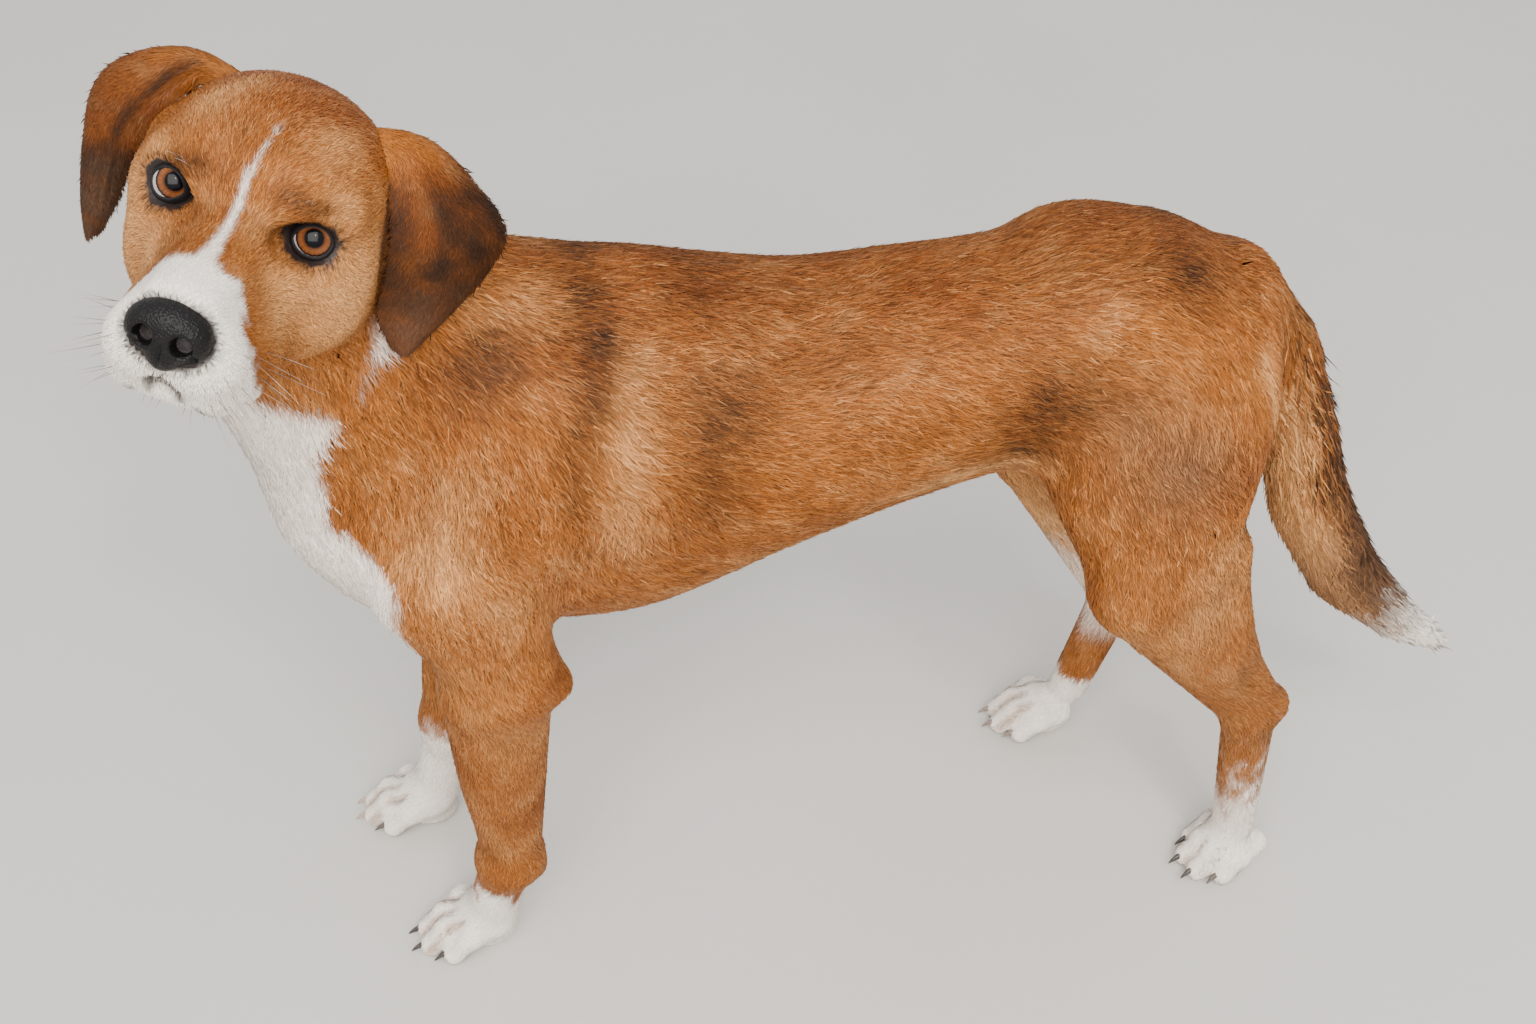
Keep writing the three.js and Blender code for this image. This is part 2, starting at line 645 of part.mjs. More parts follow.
// A claw: a tapering horn that leaves the toe's tip and droops towards the floor, clear of it.
const CLAW_RINGS = 2;
const CLAW_SIDES = 5;
const CLAW_DROOP = 4.5;
const CLAW_ROOT = 3; // how far inside the toe the horn starts
const FLOOR_CLEARANCE = 0.8;
function clawSolid(leg, toe) {
  const frame = pawFrame(leg);
  const [l, f, u] = toePoints(leg, toe).tip;
  const rings = Array.from({ length: CLAW_RINGS + 1 }, (_, i) => {
    const t = i / CLAW_RINGS;
    const radius = CLAW_RADIUS * (1 - 0.72 * t);
    return Array.from({ length: CLAW_SIDES }, (_, j) => {
      const a = (2 * Math.PI * j) / CLAW_SIDES;
      const p = frame.point(
        l + toe.across * 1.2 * t + radius * 0.85 * Math.cos(a),
        f + TOE_RADIUS - CLAW_ROOT + (CLAW_LENGTH + CLAW_ROOT) * t,
        u + 1 - CLAW_DROOP * t * t + radius * Math.sin(a),
      );
      return p.setZ(Math.max(p.z, FLOOR_CLEARANCE));
    });
  });
  return tubeSolid(rings);
}

// ---------------------------------------------------------------- ears
// A flap is a sheet ruled between its front edge and its back edge, each a smooth curve from the root to
// the tip in the head's frame. It bulges forward between them and thins towards both.
const EARS = {
  left: {
    front: [
      [37, -60, 27], [51, -51, 26], [59, -45, 12], [65, -42, -7],
      [67, -43, -31], [69, -46, -52], [78, -50, -68],
    ],
    back: [
      [39, -77, 31], [67, -78, 37], [95, -83, 21], [114, -84, 3],
      [112, -78, -20], [99, -68, -48], [88, -55, -68],
    ],
  },
  right: {
    front: [
      [-33, -60, 31], [-47, -51, 34], [-57, -42, 21], [-65, -39, 4],
      [-71, -40, -14], [-75, -43, -35], [-82, -48, -60],
    ],
    back: [
      [-36, -74, 33], [-68, -64, 42], [-92, -60, 29], [-102, -57, 10],
      [-101, -54, -16], [-95, -51, -45], [-87, -49, -64],
    ],
  },
};
const EAR_ROWS = 9;
const EAR_COLUMNS = 5;

function earSolid({ front, back }) {
  const [frontCurve, backCurve] = [front, back].map(
    (edge) => new THREE.CatmullRomCurve3(edge.map((point) => head.point(...point))),
  );
  const rings = Array.from({ length: EAR_ROWS }, (_, i) => {
    const s = i / (EAR_ROWS - 1);
    const [from, to] = [frontCurve.getPoint(s), backCurve.getPoint(s)];
    const along = frontCurve.getTangent(s).add(backCurve.getTangent(s));
    const out = to.clone().sub(from).cross(along).normalize();
    if (out.dot(head.forward) < 0) out.negate();
    const point = (t, face) => {
      const bulge = EAR_CAMBER * 4 * t * (1 - t);
      const thickness = EAR_THICKNESS * (1 - 0.7 * (2 * t - 1) ** 4);
      return from.clone().lerp(to, t).addScaledVector(out, bulge + (face * thickness) / 2);
    };
    const across = Array.from({ length: EAR_COLUMNS }, (_, j) => j / (EAR_COLUMNS - 1));
    return [...across.map((t) => point(t, 1)), ...across.reverse().map((t) => point(t, -1))];
  });
  return tubeSolid(rings);
}

// The flesh round an ear, grown by the gap that the ear keeps to it.
const EAR_TRIM_STEP = 12;
function fleshAround(piece, nudge) {
  const { min, max } = piece.boundingBox();
  const box = boxOf(min, max).expandByScalar(EAR_TRIM_STEP);
  const grownFlesh = (x, y, z) => flesh(x, y, z) - PIECE_GAP;
  return polygonise(grownFlesh, box, v(EAR_TRIM_STEP, EAR_TRIM_STEP, EAR_TRIM_STEP), nudge);
}

// ---------------------------------------------------------------- materials
const coat = (color) => new THREE.MeshStandardMaterial({ color, roughness: 0.75, metalness: 0 });
const bare = (color, roughness) => new THREE.MeshStandardMaterial({ color, roughness, metalness: 0 });
const MATERIALS = {
  tan: coat(0xb5713a),
  white: coat(0xe6dfd8),
  brown: coat(0x7a4b2c),
  leather: bare(0x262424, 0.4),
  horn: bare(0x2b2a2c, 0.35),
  eye: bare(0x4a2812, 0.05),
};

// ---------------------------------------------------------------- assembly
const dog = new THREE.Group();
function add(name, manifold, material) {
  const mesh = new THREE.Mesh(geometryOf(manifold), material);
  mesh.name = name;
  dog.add(mesh);
}

const nose = noseSolid();
add("nose", nose, MATERIALS.leather);
const beds = [grown(nose, PIECE_GAP)];
for (const [side, place] of Object.entries(EYE_PLACES)) {
  add(`${side}_eye`, sphereSolid(EYE_RADIUS, eyeCentre(place)), MATERIALS.eye);
  beds.push(sphereSolid(EYE_RADIUS + EYE_GAP, eyeCentre(place)));
  const flap = earSolid(EARS[side]);
  const ear = tightest((nudge) => largest(flap.subtract(fleshAround(flap, nudge))));
  add(`${side}_ear`, ear, MATERIALS.brown);
}
PARTS.head.beds = beds;
const parts = Object.fromEntries(Object.entries(PARTS).map(([name, part]) => [name, fleshPart(part)]));

const PAWS = {
  left_forepaw: FORELEGS.left,
  right_forepaw: FORELEGS.right,
  left_hind_paw: HIND_LEGS.left,
  right_hind_paw: HIND_LEGS.right,
};
for (const [name, leg] of Object.entries(PAWS))
  TOES.forEach((toe, i) => {
    const clear = largest(clawSolid(leg, toe).subtract(parts[name]));
    const shift = pawFrame(leg).forward.multiplyScalar(CLAW_GAP).toArray();
    add(`${name.replace("paw", "claw")}_${i + 1}`, clear.translate(shift), MATERIALS.horn);
  });

for (const [name, manifold] of Object.entries(parts))
  add(name, manifold, name.includes("paw") ? MATERIALS.white : MATERIALS.tan);

// The origin is on the floor, below the middle of the dog's box.
const middle = new THREE.Box3().setFromObject(dog).getCenter(v());
dog.position.set(-middle.x, -middle.y, 0);

export default dog;
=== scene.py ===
"""A medium-sized tan dog with drop ears, standing still and looking round to its left, at life size.

The dog's own frame is in millimetres: +X is its left, +Y is the way its trunk leads back to the tail, +Z is up,
and the origin is on the floor below its withers. The flesh is one field of distances, negative inside. Raised
and hollowed by its swells, it is the outline out to the tips of the coat. The skin lies deeper by the coat's own
depth, and the coat is planted on the skin as small closed tufts of hair.
"""

import logging
import math
from collections.abc import Callable, Iterator, Sequence
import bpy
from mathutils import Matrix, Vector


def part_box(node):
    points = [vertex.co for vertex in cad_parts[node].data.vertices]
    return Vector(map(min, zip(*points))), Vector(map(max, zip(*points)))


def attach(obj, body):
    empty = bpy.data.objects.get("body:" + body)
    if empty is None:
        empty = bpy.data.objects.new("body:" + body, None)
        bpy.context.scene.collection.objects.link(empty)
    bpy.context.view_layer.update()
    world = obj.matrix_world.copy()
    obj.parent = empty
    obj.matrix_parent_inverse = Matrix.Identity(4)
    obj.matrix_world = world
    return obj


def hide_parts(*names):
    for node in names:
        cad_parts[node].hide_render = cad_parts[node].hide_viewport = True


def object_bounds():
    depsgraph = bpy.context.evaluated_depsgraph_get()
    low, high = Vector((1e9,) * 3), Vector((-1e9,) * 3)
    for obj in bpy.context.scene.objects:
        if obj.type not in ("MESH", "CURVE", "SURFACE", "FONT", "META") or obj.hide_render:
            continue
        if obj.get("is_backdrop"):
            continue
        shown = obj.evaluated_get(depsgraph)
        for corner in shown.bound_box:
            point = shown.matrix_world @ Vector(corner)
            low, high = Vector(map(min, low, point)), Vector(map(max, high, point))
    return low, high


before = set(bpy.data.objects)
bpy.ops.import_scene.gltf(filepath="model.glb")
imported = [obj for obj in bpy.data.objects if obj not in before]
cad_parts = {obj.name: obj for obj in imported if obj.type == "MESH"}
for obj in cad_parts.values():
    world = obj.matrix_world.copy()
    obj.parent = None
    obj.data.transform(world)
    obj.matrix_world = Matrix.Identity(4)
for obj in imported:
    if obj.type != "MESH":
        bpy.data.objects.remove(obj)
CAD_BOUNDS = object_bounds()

from concurrent.futures import ThreadPoolExecutor
from dataclasses import dataclass, field
from enum import Enum

import bpy
import numpy as np
from mathutils import Matrix, Vector

logging.basicConfig(level=logging.INFO, format="%(message)s")
log = logging.getLogger("dog")

Array = np.ndarray
Field = Callable[[Array], Array]
Triple = tuple[float, float, float]

MM = 0.001  # metres in a millimetre
FAR = 1000.0  # a distance that no blend reaches
THREADS = 4
BODY = "root"


class Side(Enum):
    """A side of the dog. Its value is the sign of its outward way along +X."""

    LEFT = 1.0
    RIGHT = -1.0

    def __str__(self) -> str:
        """The side as it stands in the names of pieces."""
        return self.name.lower()


SIGNS = tuple(side.value for side in Side)


# ---------------------------------------------------------------- small mathematics
def unit(vectors: Array) -> Array:
    """Vectors scaled to the length 1."""
    return vectors / np.maximum(np.linalg.norm(vectors, axis=-1, keepdims=True), 1e-9)


def dot(a: Array, b: Array) -> Array:
    """Products of two lists of vectors, row by row."""
    return (a * b).sum(-1)


def bell(places: Array, at: Triple, radii: Triple | float) -> Array:
    """A bell curve round a middle: e to the power -d * d, where d is the distance in shares of the radii."""
    offset = (places - np.array(at)) / np.array(radii)
    return np.exp(-dot(offset, offset))


def oval_reach(places: Array, at: Triple, radii: Triple) -> Array:
    """Distances from a middle in shares of three half-axes: 1 on the ellipsoid that they span."""
    return np.linalg.norm((places - np.array(at)) / np.array(radii), axis=1)


def folded(places: Array) -> Array:
    """Places of both sides, laid on the left one."""
    return np.column_stack([np.abs(places[:, 0]), places[:, 1:]])


def ramp(x: Array, start: float, end: float) -> Array:
    """A smooth rise from 0 at start to 1 at end; it falls where start is the larger one."""
    t = np.clip((x - start) / (end - start), 0.0, 1.0)
    return t * t * (3.0 - 2.0 * t)


def waves(points: Array, length: float, seed: int, count: int = 9, level: float = 0.45) -> Array:
    """Smooth noise between about -1 and 1: the sum of plane waves in random directions, times a level.

    Args:
        points: Places in millimetres.
        length: The length that the waves' own lengths lie round, from 0.6 to 1.7 times it.
        seed: Which noise.
        count: How many waves.
        level: The height of one wave.

    Returns:
        One value for each place.
    """
    rng = np.random.default_rng(seed)
    directions = unit(rng.normal(size=(count, 3)))
    lengths = length * rng.uniform(0.6, 1.7, count)
    phases = rng.uniform(0.0, 2.0 * math.pi, count)
    total = np.zeros(len(points))
    for direction, step, phase in zip(directions, lengths, phases):
        total += np.sin(points @ direction * (2.0 * math.pi / step) + phase)
    return total * level


def spline(points: Array, t: Array) -> Array:
    """A smooth curve through points, uniform Catmull-Rom: each span is a cubic whose slopes are half the
    chord between the neighbours.

    Args:
        points: The control points, first axis along the curve.
        t: Places from 0 at the first point to 1 at the last.

    Returns:
        The curve's points.
    """
    last = len(points) - 1
    padded = np.concatenate([2 * points[:1] - points[1:2], points, 2 * points[-1:] - points[-2:-1]])
    i = np.clip((t * last).astype(int), 0, last - 1)
    u = (t * last - i).reshape((-1,) + (1,) * (points.ndim - 1))
    a, b, c, d = (padded[i + k] for k in range(4))
    return b + 0.5 * u * (c - a + u * (2 * a - 5 * b + 4 * c - d + u * (3 * (b - c) + d - a)))


@dataclass(frozen=True)
class Axes:
    """A frame of its own (left, forward, up) coordinates in the dog's frame."""

    origin: Array
    rows: Array

    @staticmethod
    def level(origin: Triple, turn: float = 0.0) -> "Axes":
        """A level frame turned outwards, to the left, by a number of degrees."""
        a = math.radians(turn)
        rows = np.array([[math.cos(a), math.sin(a), 0], [math.sin(a), -math.cos(a), 0], [0, 0, 1]])
        return Axes(np.array(origin, float), rows)

    @staticmethod
    def looking(origin: Triple, yaw: float, pitch: float, roll: float) -> "Axes":
        """A frame turned to the left by yaw, lifted by pitch, then rolled about its forward axis.

        Args:
            origin: Its origin in the dog's frame.
            yaw: Degrees to the left.
            pitch: Degrees upwards.
            roll: Degrees that its right side goes up.

        Returns:
            The frame.
        """
        a, e, r = (math.radians(angle) for angle in (yaw, pitch, roll))
        forward = np.array([math.sin(a) * math.cos(e), -math.cos(a) * math.cos(e), math.sin(e)])
        level = np.array([math.cos(a), math.sin(a), 0.0])
        crown = -np.cross(level, forward)
        left = level * math.cos(r) - crown * math.sin(r)
        up = crown * math.cos(r) + level * math.sin(r)
        return Axes(np.array(origin, float), np.stack([left, forward, up]))

    def out(self, local: Array | Sequence) -> Array:
        """Places in this frame, turned into the dog's frame."""
        return self.origin + np.asarray(local, float) @ self.rows

    def turn(self, local: Array | Sequence) -> Array:
        """Directions in this frame, turned into the dog's frame."""
        return np.asarray(local, float) @ self.rows

    def inside(self, points: Array) -> Array:
        """Places in the dog's frame, turned into this one."""
        return (points - self.origin) @ self.rows.T


TRUNK = Axes(np.zeros(3), np.array([[1.0, 0, 0], [0, -1.0, 0], [0, 0, 1.0]]))
HEAD = Axes.looking((79.6, -133.5, 662.9), yaw=74.1, pitch=14.4, roll=17.3)


# ---------------------------------------------------------------- fields
def ellipsoid_distance(local: Array, radii: Array) -> Array:
    """First-order distance to an ellipsoid: k0 (k0 - 1) / k1, where k0 is the length of p / radii and k1 that
    of p / radii squared.

    Args:
        local: Places in the ellipsoid's own axes.
        radii: Its three half-axes, for all places or for each.

    Returns:
        A distance for each place, negative inside.
    """
    scaled = local / radii
    k0 = np.sqrt(dot(scaled, scaled))
    steep = scaled / radii
    k1 = np.sqrt(dot(steep, steep))
    return np.where(k1 < 1e-9, -np.min(radii), k0 * (k0 - 1.0) / np.maximum(k1, 1e-9))


def soft_min(a: Array, b: Array, blend: float) -> Array:
    """The lesser of two distances, with a soft joint where they are nearly equal."""
    h = np.maximum(blend - np.abs(a - b), 0.0) / blend
    return np.minimum(a, b) - h * h * blend / 4.0


@dataclass(frozen=True)
class Ball:
    """An ellipsoid with half-axes along a frame's left, forward and up."""

    axes: Axes
    at: Triple
    radii: Triple

    def __call__(self, points: Array) -> Array:
        """Distances to the ball."""
        return ellipsoid_distance(self.axes.inside(points) - np.array(self.at), np.array(self.radii, float))


@dataclass(frozen=True)
class Limb:
    """A round-ended limb with an elliptic section: a half-width along the frame's left and a half-depth square
    to it, each changing evenly from the start to the end.
    """

    axes: Axes
    start: Triple
    end: Triple
    first: tuple[float, float]
    last: tuple[float, float]

    def __call__(self, points: Array) -> Array:
        """Distances to the limb: those to the ellipsoid at the nearest place of its axis."""
        a = self.axes.out(self.start)
        along = self.axes.out(self.end) - a
        length = float(np.linalg.norm(along))
        axis = along / length
        side = unit(self.axes.rows[0] - axis * (self.axes.rows[0] @ axis))
        local = (points - a) @ np.stack([side, np.cross(axis, side), axis]).T
        t = np.clip(local[:, 2] / length, 0.0, 1.0)
        width = self.first[0] + (self.last[0] - self.first[0]) * t
        depth = self.first[1] + (self.last[1] - self.first[1]) * t
        local[:, 2] -= t * length
        return ellipsoid_distance(local, np.stack([width, depth, np.minimum(width, depth)], -1))


@dataclass(frozen=True)
class Barrel:
    """A barrel along the y axis through upright elliptic sections (y, z, width, depth). Its lower half narrows
    by the share keel, and each end closes in a dome.
    """

    sections: tuple[tuple[float, float, float, float], ...]
    keel: float
    cap: float

    def __call__(self, points: Array) -> Array:
        """Distances to the barrel; its sections change as Hermite cubics between their places."""
        table = np.array(self.sections)
        places = table[:, 0]
        y = np.clip(points[:, 1], places[0], places[-1])
        i = np.clip(np.searchsorted(places, y, side="right") - 1, 0, len(places) - 2)
        order = np.arange(len(places))
        before, after = np.maximum(order - 1, 0), np.minimum(order + 1, len(places) - 1)
        slopes = (table[after] - table[before]) / (places[after] - places[before])[:, None]
        span = places[i + 1] - places[i]
        t = ((y - places[i]) / span)[:, None]
        run = span[:, None]
        section = (
            (2 * t**3 - 3 * t**2 + 1) * table[i]
            + (t**3 - 2 * t**2 + t) * run * slopes[i]
            + (3 * t**2 - 2 * t**3) * table[i + 1]
            + (t**3 - t**2) * run * slopes[i + 1]
        )
        height, width, depth = section[:, 1], section[:, 2], section[:, 3]
        rise = (points[:, 2] - height) / depth
        spread = 1.0 + self.keel * np.clip(rise, -1.0, 0.3)
        local = np.stack([points[:, 0] / spread, rise * depth, points[:, 1] - y], -1)
        return ellipsoid_distance(local, np.stack([width, depth, np.full_like(width, self.cap)], -1))


@dataclass(frozen=True)
class Blend:
    """Fields joined one after another, each with its own soft blend."""

    parts: tuple[tuple[float, Field], ...]

    def __call__(self, points: Array) -> Array:
        """Distances to the joined shape."""
        distance = np.full(len(points), FAR)
        for blend, part in self.parts:
            distance = soft_min(distance, part(points), blend)
        return distance


@dataclass(frozen=True)
class Pressed:
    """A field with soft hollows in the shape of tools, each with its own blend."""

    base: Field
    tools: tuple[tuple[float, Field], ...]

    def __call__(self, points: Array) -> Array:
        """Distances to what is left of the base."""
        distance = self.base(points)
        for blend, tool in self.tools:
            distance = -soft_min(-distance, tool(points), blend)
        return distance


@dataclass(frozen=True)
class Bounded:
    """A field that is worked out only inside a box; outside it is far away."""

    base: Field
    low: Triple
    high: Triple

    def __call__(self, points: Array) -> Array:
        """Distances inside the box, and FAR outside it."""
        near = np.all((points > np.array(self.low)) & (points < np.array(self.high)), axis=1)
        distance = np.full(len(points), FAR)
        if near.any():
            distance[near] = self.base(points[near])
        return distance


def evaluate(base: Field, points: Array, chunk: int = 12_000) -> Array:
    """A field's values at many places, worked out in chunks by several threads."""
    parts = np.array_split(points, max(len(points) // chunk, 1))
    with ThreadPoolExecutor(THREADS) as pool:
        return np.concatenate(list(pool.map(base, parts)))


def settle(base: Field, points: Array, longest: float, turns: int, ahead: float = 0.3,
           flattest: float = 0.05) -> Array:
    """Moves places on to a field's surface by Newton steps of a limited length: the value over the squared
    slope, along the slope.

    Args:
        base: The field.
        points: The places.
        longest: The longest step.
        turns: How many steps.
        ahead: How far ahead the slope is read.
        flattest: The least squared slope that is reckoned with.

    Returns:
        The moved places.
    """
    for _ in range(turns):
        here = evaluate(base, points)
        slope = np.stack([evaluate(base, points + way) - here for way in np.eye(3) * ahead], -1) / ahead
        steep = np.maximum(dot(slope, slope), flattest)
        points = points - slope * np.clip(here / steep, -longest, longest)[:, None]
    return points


# ---------------------------------------------------------------- surface nets
CORNERS = np.array([[c & 1, (c >> 1) & 1, (c >> 2) & 1] for c in range(8)])
CELL_EDGES = [(p, p | bit) for p in range(8) for bit in (1, 2, 4) if not p & bit]
# A block of cells may hold the surface where one of its corners lies nearer to it than this share of the block's
# diagonal and this many millimetres, added up.
ROUGH_SLOPE = 0.75
ROUGH_MARGIN = 5.0


@dataclass
class Surface:
    """A mesh in the dog's frame, with values at its vertices and, where its shading has its own, directions."""

    vertices: Array
    faces: Array
    values: dict[str, Array] = field(default_factory=dict)
    shading: Array | None = None

    def normals(self) -> Array:
        """Vertex normals of quads: the sum of the crossed diagonals of the faces round each vertex."""
        a, b, c, d = (self.vertices[self.faces[:, i]] for i in range(4))
        per_corner = np.repeat(np.cross(c - a, d - b), 4, axis=0)
        flat = self.faces.ravel()
        return unit(np.stack([np.bincount(flat, column, len(self.vertices)) for column in per_corner.T], -1))


def at_corners(grid: Array) -> list[Array]:
    """The values of a grid at the eight corners of each of its cells, in the order of CORNERS."""
    cells = slice(0, -1), slice(1, None)
    return [grid[cells[i], cells[j], cells[k]] for i, j, k in CORNERS]


def sample_grid(base: Field, axes: Sequence[Array], block: int = 4) -> Array:
    """A field's values on a grid. They are exact in the blocks of cells that the surface may cross; the other
    blocks take the value of their lowest corner, which has the right sign.

    Args:
        base: The field.
        axes: The grid's rising coordinates along x, y and z.
        block: The cells along a side of a block.

    Returns:
        The values on the grid.
    """
    picks = [np.unique(np.append(np.arange(0, len(a), block), len(a) - 1)) for a in axes]
    blocks = np.meshgrid(*[a[p] for a, p in zip(axes, picks)], indexing="ij")
    rough = evaluate(base, np.stack(blocks, -1).reshape(-1, 3)).reshape([len(p) for p in picks])
    spans = np.meshgrid(*[np.diff(a[p]) for a, p in zip(axes, picks)], indexing="ij")
    diagonal = np.sqrt(sum(span**2 for span in spans))
    near = np.abs(np.stack(at_corners(rough))).min(0) < ROUGH_SLOPE * diagonal + ROUGH_MARGIN
    owners = [np.clip(np.searchsorted(p, np.arange(len(a)), side="right") - 1, 0, len(p) - 2)
              for a, p in zip(axes, picks)]
    values = rough[np.ix_(*owners)].astype(np.float32)
    exact = np.argwhere(near[np.ix_(*owners)])
    places = np.stack([axes[k][exact[:, k]] for k in range(3)], -1)
    values[tuple(exact.T)] = evaluate(base, places)
    return values


def surface_net(base: Field, axes: Sequence[Array]) -> Surface:
    """Meshes a field: one vertex in each cell that the surface crosses, at the mean of the crossings on the
    cell's edges and then moved on to the surface, and one quad round each grid edge that crosses it.

    Args:
        base: The field; its surface stays clear of the grid's border.
        axes: The grid's rising coordinates along x, y and z.

    Returns:
        The closed surface, in quads that face outwards.
    """
    values = sample_grid(base, axes)
    inside = values < 0.0
    total = sum(corner.astype(np.uint8) for corner in at_corners(inside))
    crossed = np.argwhere((total > 0) & (total < 8))
    corner = np.stack([values[tuple((crossed + c).T)] for c in CORNERS], -1)
    offset = np.zeros((len(crossed), 3))
    count = np.zeros(len(crossed))
    for p, q in CELL_EDGES:
        cut = (corner[:, p] < 0.0) != (corner[:, q] < 0.0)
        gap = np.where(cut, corner[:, p] - corner[:, q], 1.0)
        t = corner[:, p] / gap
        offset += np.where(cut[:, None], CORNERS[p] + t[:, None] * (CORNERS[q] - CORNERS[p]), 0.0)
        count += cut
    offset /= count[:, None]
    low = np.stack([axes[k][crossed[:, k]] for k in range(3)], -1)
    size = np.stack([np.diff(axes[k])[crossed[:, k]] for k in range(3)], -1)
    number = np.full(total.shape, -1, np.int64)
    number[tuple(crossed.T)] = np.arange(len(crossed))
    quads = []
    step = np.eye(3, dtype=int)
    for a in range(3):
        b, c = (a + 1) % 3, (a + 2) % 3
        ends = [slice(0, -1) if k == a else slice(1, -1) for k in range(3)]
        here = inside[tuple(ends)]
        there = inside[tuple(slice(1, None) if k == a else slice(1, -1) for k in range(3))]
        edges = np.argwhere(here != there) + (1 - step[a])
        around = [edges - step[b] - step[c], edges - step[c], edges, edges - step[b]]
        quad = np.stack([number[tuple(cell.T)] for cell in around], -1)
        outward = inside[tuple(edges.T)]
        quads.append(np.where(outward[:, None], quad, quad[:, ::-1]))
    points = settle(base, low + offset * size, float(size.mean()) / 2.0, 1)
    return Surface(points, np.concatenate(quads))


def graded(low: float, high: float, coarse: float, zones: Sequence[Triple], growth: float = 0.12) -> Array:
    """Rising grid coordinates with finer stretches: the step at a place is its zone's, grows with the distance
    from the zone, and is at most the coarse one.

    Args:
        low: The first coordinate.
        high: The last coordinate, about.
        coarse: The step outside the zones.
        zones: (start, end, step) of each finer stretch.
        growth: How much the step grows in a millimetre.

    Returns:
        The coordinates.
    """
    hop = 0.5
    fine = np.arange(low, high, hop)
    steps = np.full(len(fine), coarse)
    for start, end, step in zones:
        reach = np.maximum(np.maximum(start - fine, fine - end), 0.0)
        steps = np.minimum(steps, step + reach * growth)
    travelled = np.concatenate([[0.0], np.cumsum(hop / steps)])
    return np.interp(np.arange(0.0, travelled[-1], 1.0), travelled, np.append(fine, fine[-1] + hop))


# ---------------------------------------------------------------- the dog's flesh
@dataclass(frozen=True)
class Paw:
    """A paw with four toes, in a level frame at its middle on the floor."""

    at: tuple[float, float]
    turn: float
    reach: float
    across: tuple[float, ...] = (-1.0, -0.38, 0.38, 1.0)
    outer_toe_short: float = 15.0
    half_width: float = 17.0
    toe_radius: float = 10.0

    @property
    def axes(self) -> Axes:
        """The paw's own frame."""
        return Axes.level(tuple(TRUNK.out((*self.at, 0.0))), self.turn)

    def toe(self, across: float) -> tuple[Triple, Triple, Triple]:
        """Where one toe leaves the paw, its knuckle and its tip, in the paw's frame."""
        l = across * self.half_width
        reach = self.reach - (self.outer_toe_short if abs(across) == 1.0 else 0.0)
        return (l * 0.7, reach - 32, 23), (l, reach - 14, 22), (l * 1.15, reach, 9.5)

    def grooves(self) -> tuple[tuple[float, Field], ...]:
        """The grooves between neighbouring toes, each a thin limb over the knuckles and down to the floor."""
        lines = []
        for a, b in zip(self.across, self.across[1:]):
            pair = (np.array(self.toe(a)) + np.array(self.toe(b))) / 2.0
            lift = np.array([[0, -4, 9.5], [0, 4, 8.5], [0, 9.0, 1.0]])
            top, knuckle, tip = (tuple(p) for p in pair + lift)
            lines.append((1, Limb(self.axes, top, knuckle, (0.8, 1.6), (1.1, 2.6))))
            lines.append((1, Limb(self.axes, knuckle, tip, (1.1, 2.6), (1.4, 2.6))))
        middle = self.axes.out((0, 20, 20))
        return ((2.2, Bounded(Blend(tuple(lines)), tuple(middle - 62), tuple(middle + 62))),)

    def field(self) -> Blend:
        """The paw's body and main pad, and each toe as two limbs."""
        r, f = self.toe_radius, self.axes
        toes = []
        for across in self.across:
            base, knuckle, tip = self.toe(across)
            upper = Limb(f, base, knuckle, (r, r), (r, r))
            lower = Limb(f, knuckle, tip, (r, r), (r - 1, r - 1))
            toes.append((3, Blend(((1, upper), (5, lower)))))
        return Blend(((1, Ball(f, (0, 6, 20), (22, 24, 19))), (6, Ball(f, (0, 0, 8), (18, 20, 12))), *toes))


class Leg:
    """A leg of either kind, told by the line of its joints."""

    def line(self) -> Array:
        """The leg's joints in the dog's frame, from the paw up."""
        raise NotImplementedError

    def middle(self, heights: Array) -> Array:
        """Where the line passes some heights, in x and y."""
        line = self.line()
        return np.stack([np.interp(heights, line[:, 2], line[:, k]) for k in range(2)], -1)


@dataclass(frozen=True)
class Foreleg(Leg):
    """A foreleg from the elbow down, with its joints as (left, forward, up)."""

    elbow: Triple
    wrist: Triple
    knuckle: Triple
    paw: Paw

    def field(self) -> Blend:
        """Forearm, point of the elbow, wrist with its pad, pastern and paw."""
        t = TRUNK
        s = math.copysign(1.0, self.elbow[0])
        x, y, z = self.elbow
        wx, wy, wz = self.wrist
        return Blend((
            (1, Limb(t, self.elbow, self.wrist, (27, 36), (20, 23))),
            (10, Ball(t, (x + 2 * s, y - 35, z + 2), (9, 10, 11))),
            (14, Ball(t, self.wrist, (19, 21, 22))),
            (8, Ball(t, (wx, wy - 18, wz - 14), (8, 8, 9))),
            (14, Limb(t, self.wrist, self.knuckle, (18, 19), (19, 18))),
            (14, self.paw.field()),
        ))

    def line(self) -> Array:
        """The leg's joints in the dog's frame, from the paw up."""
        return TRUNK.out([(*self.paw.at, 0.0), self.knuckle, self.wrist, self.elbow])


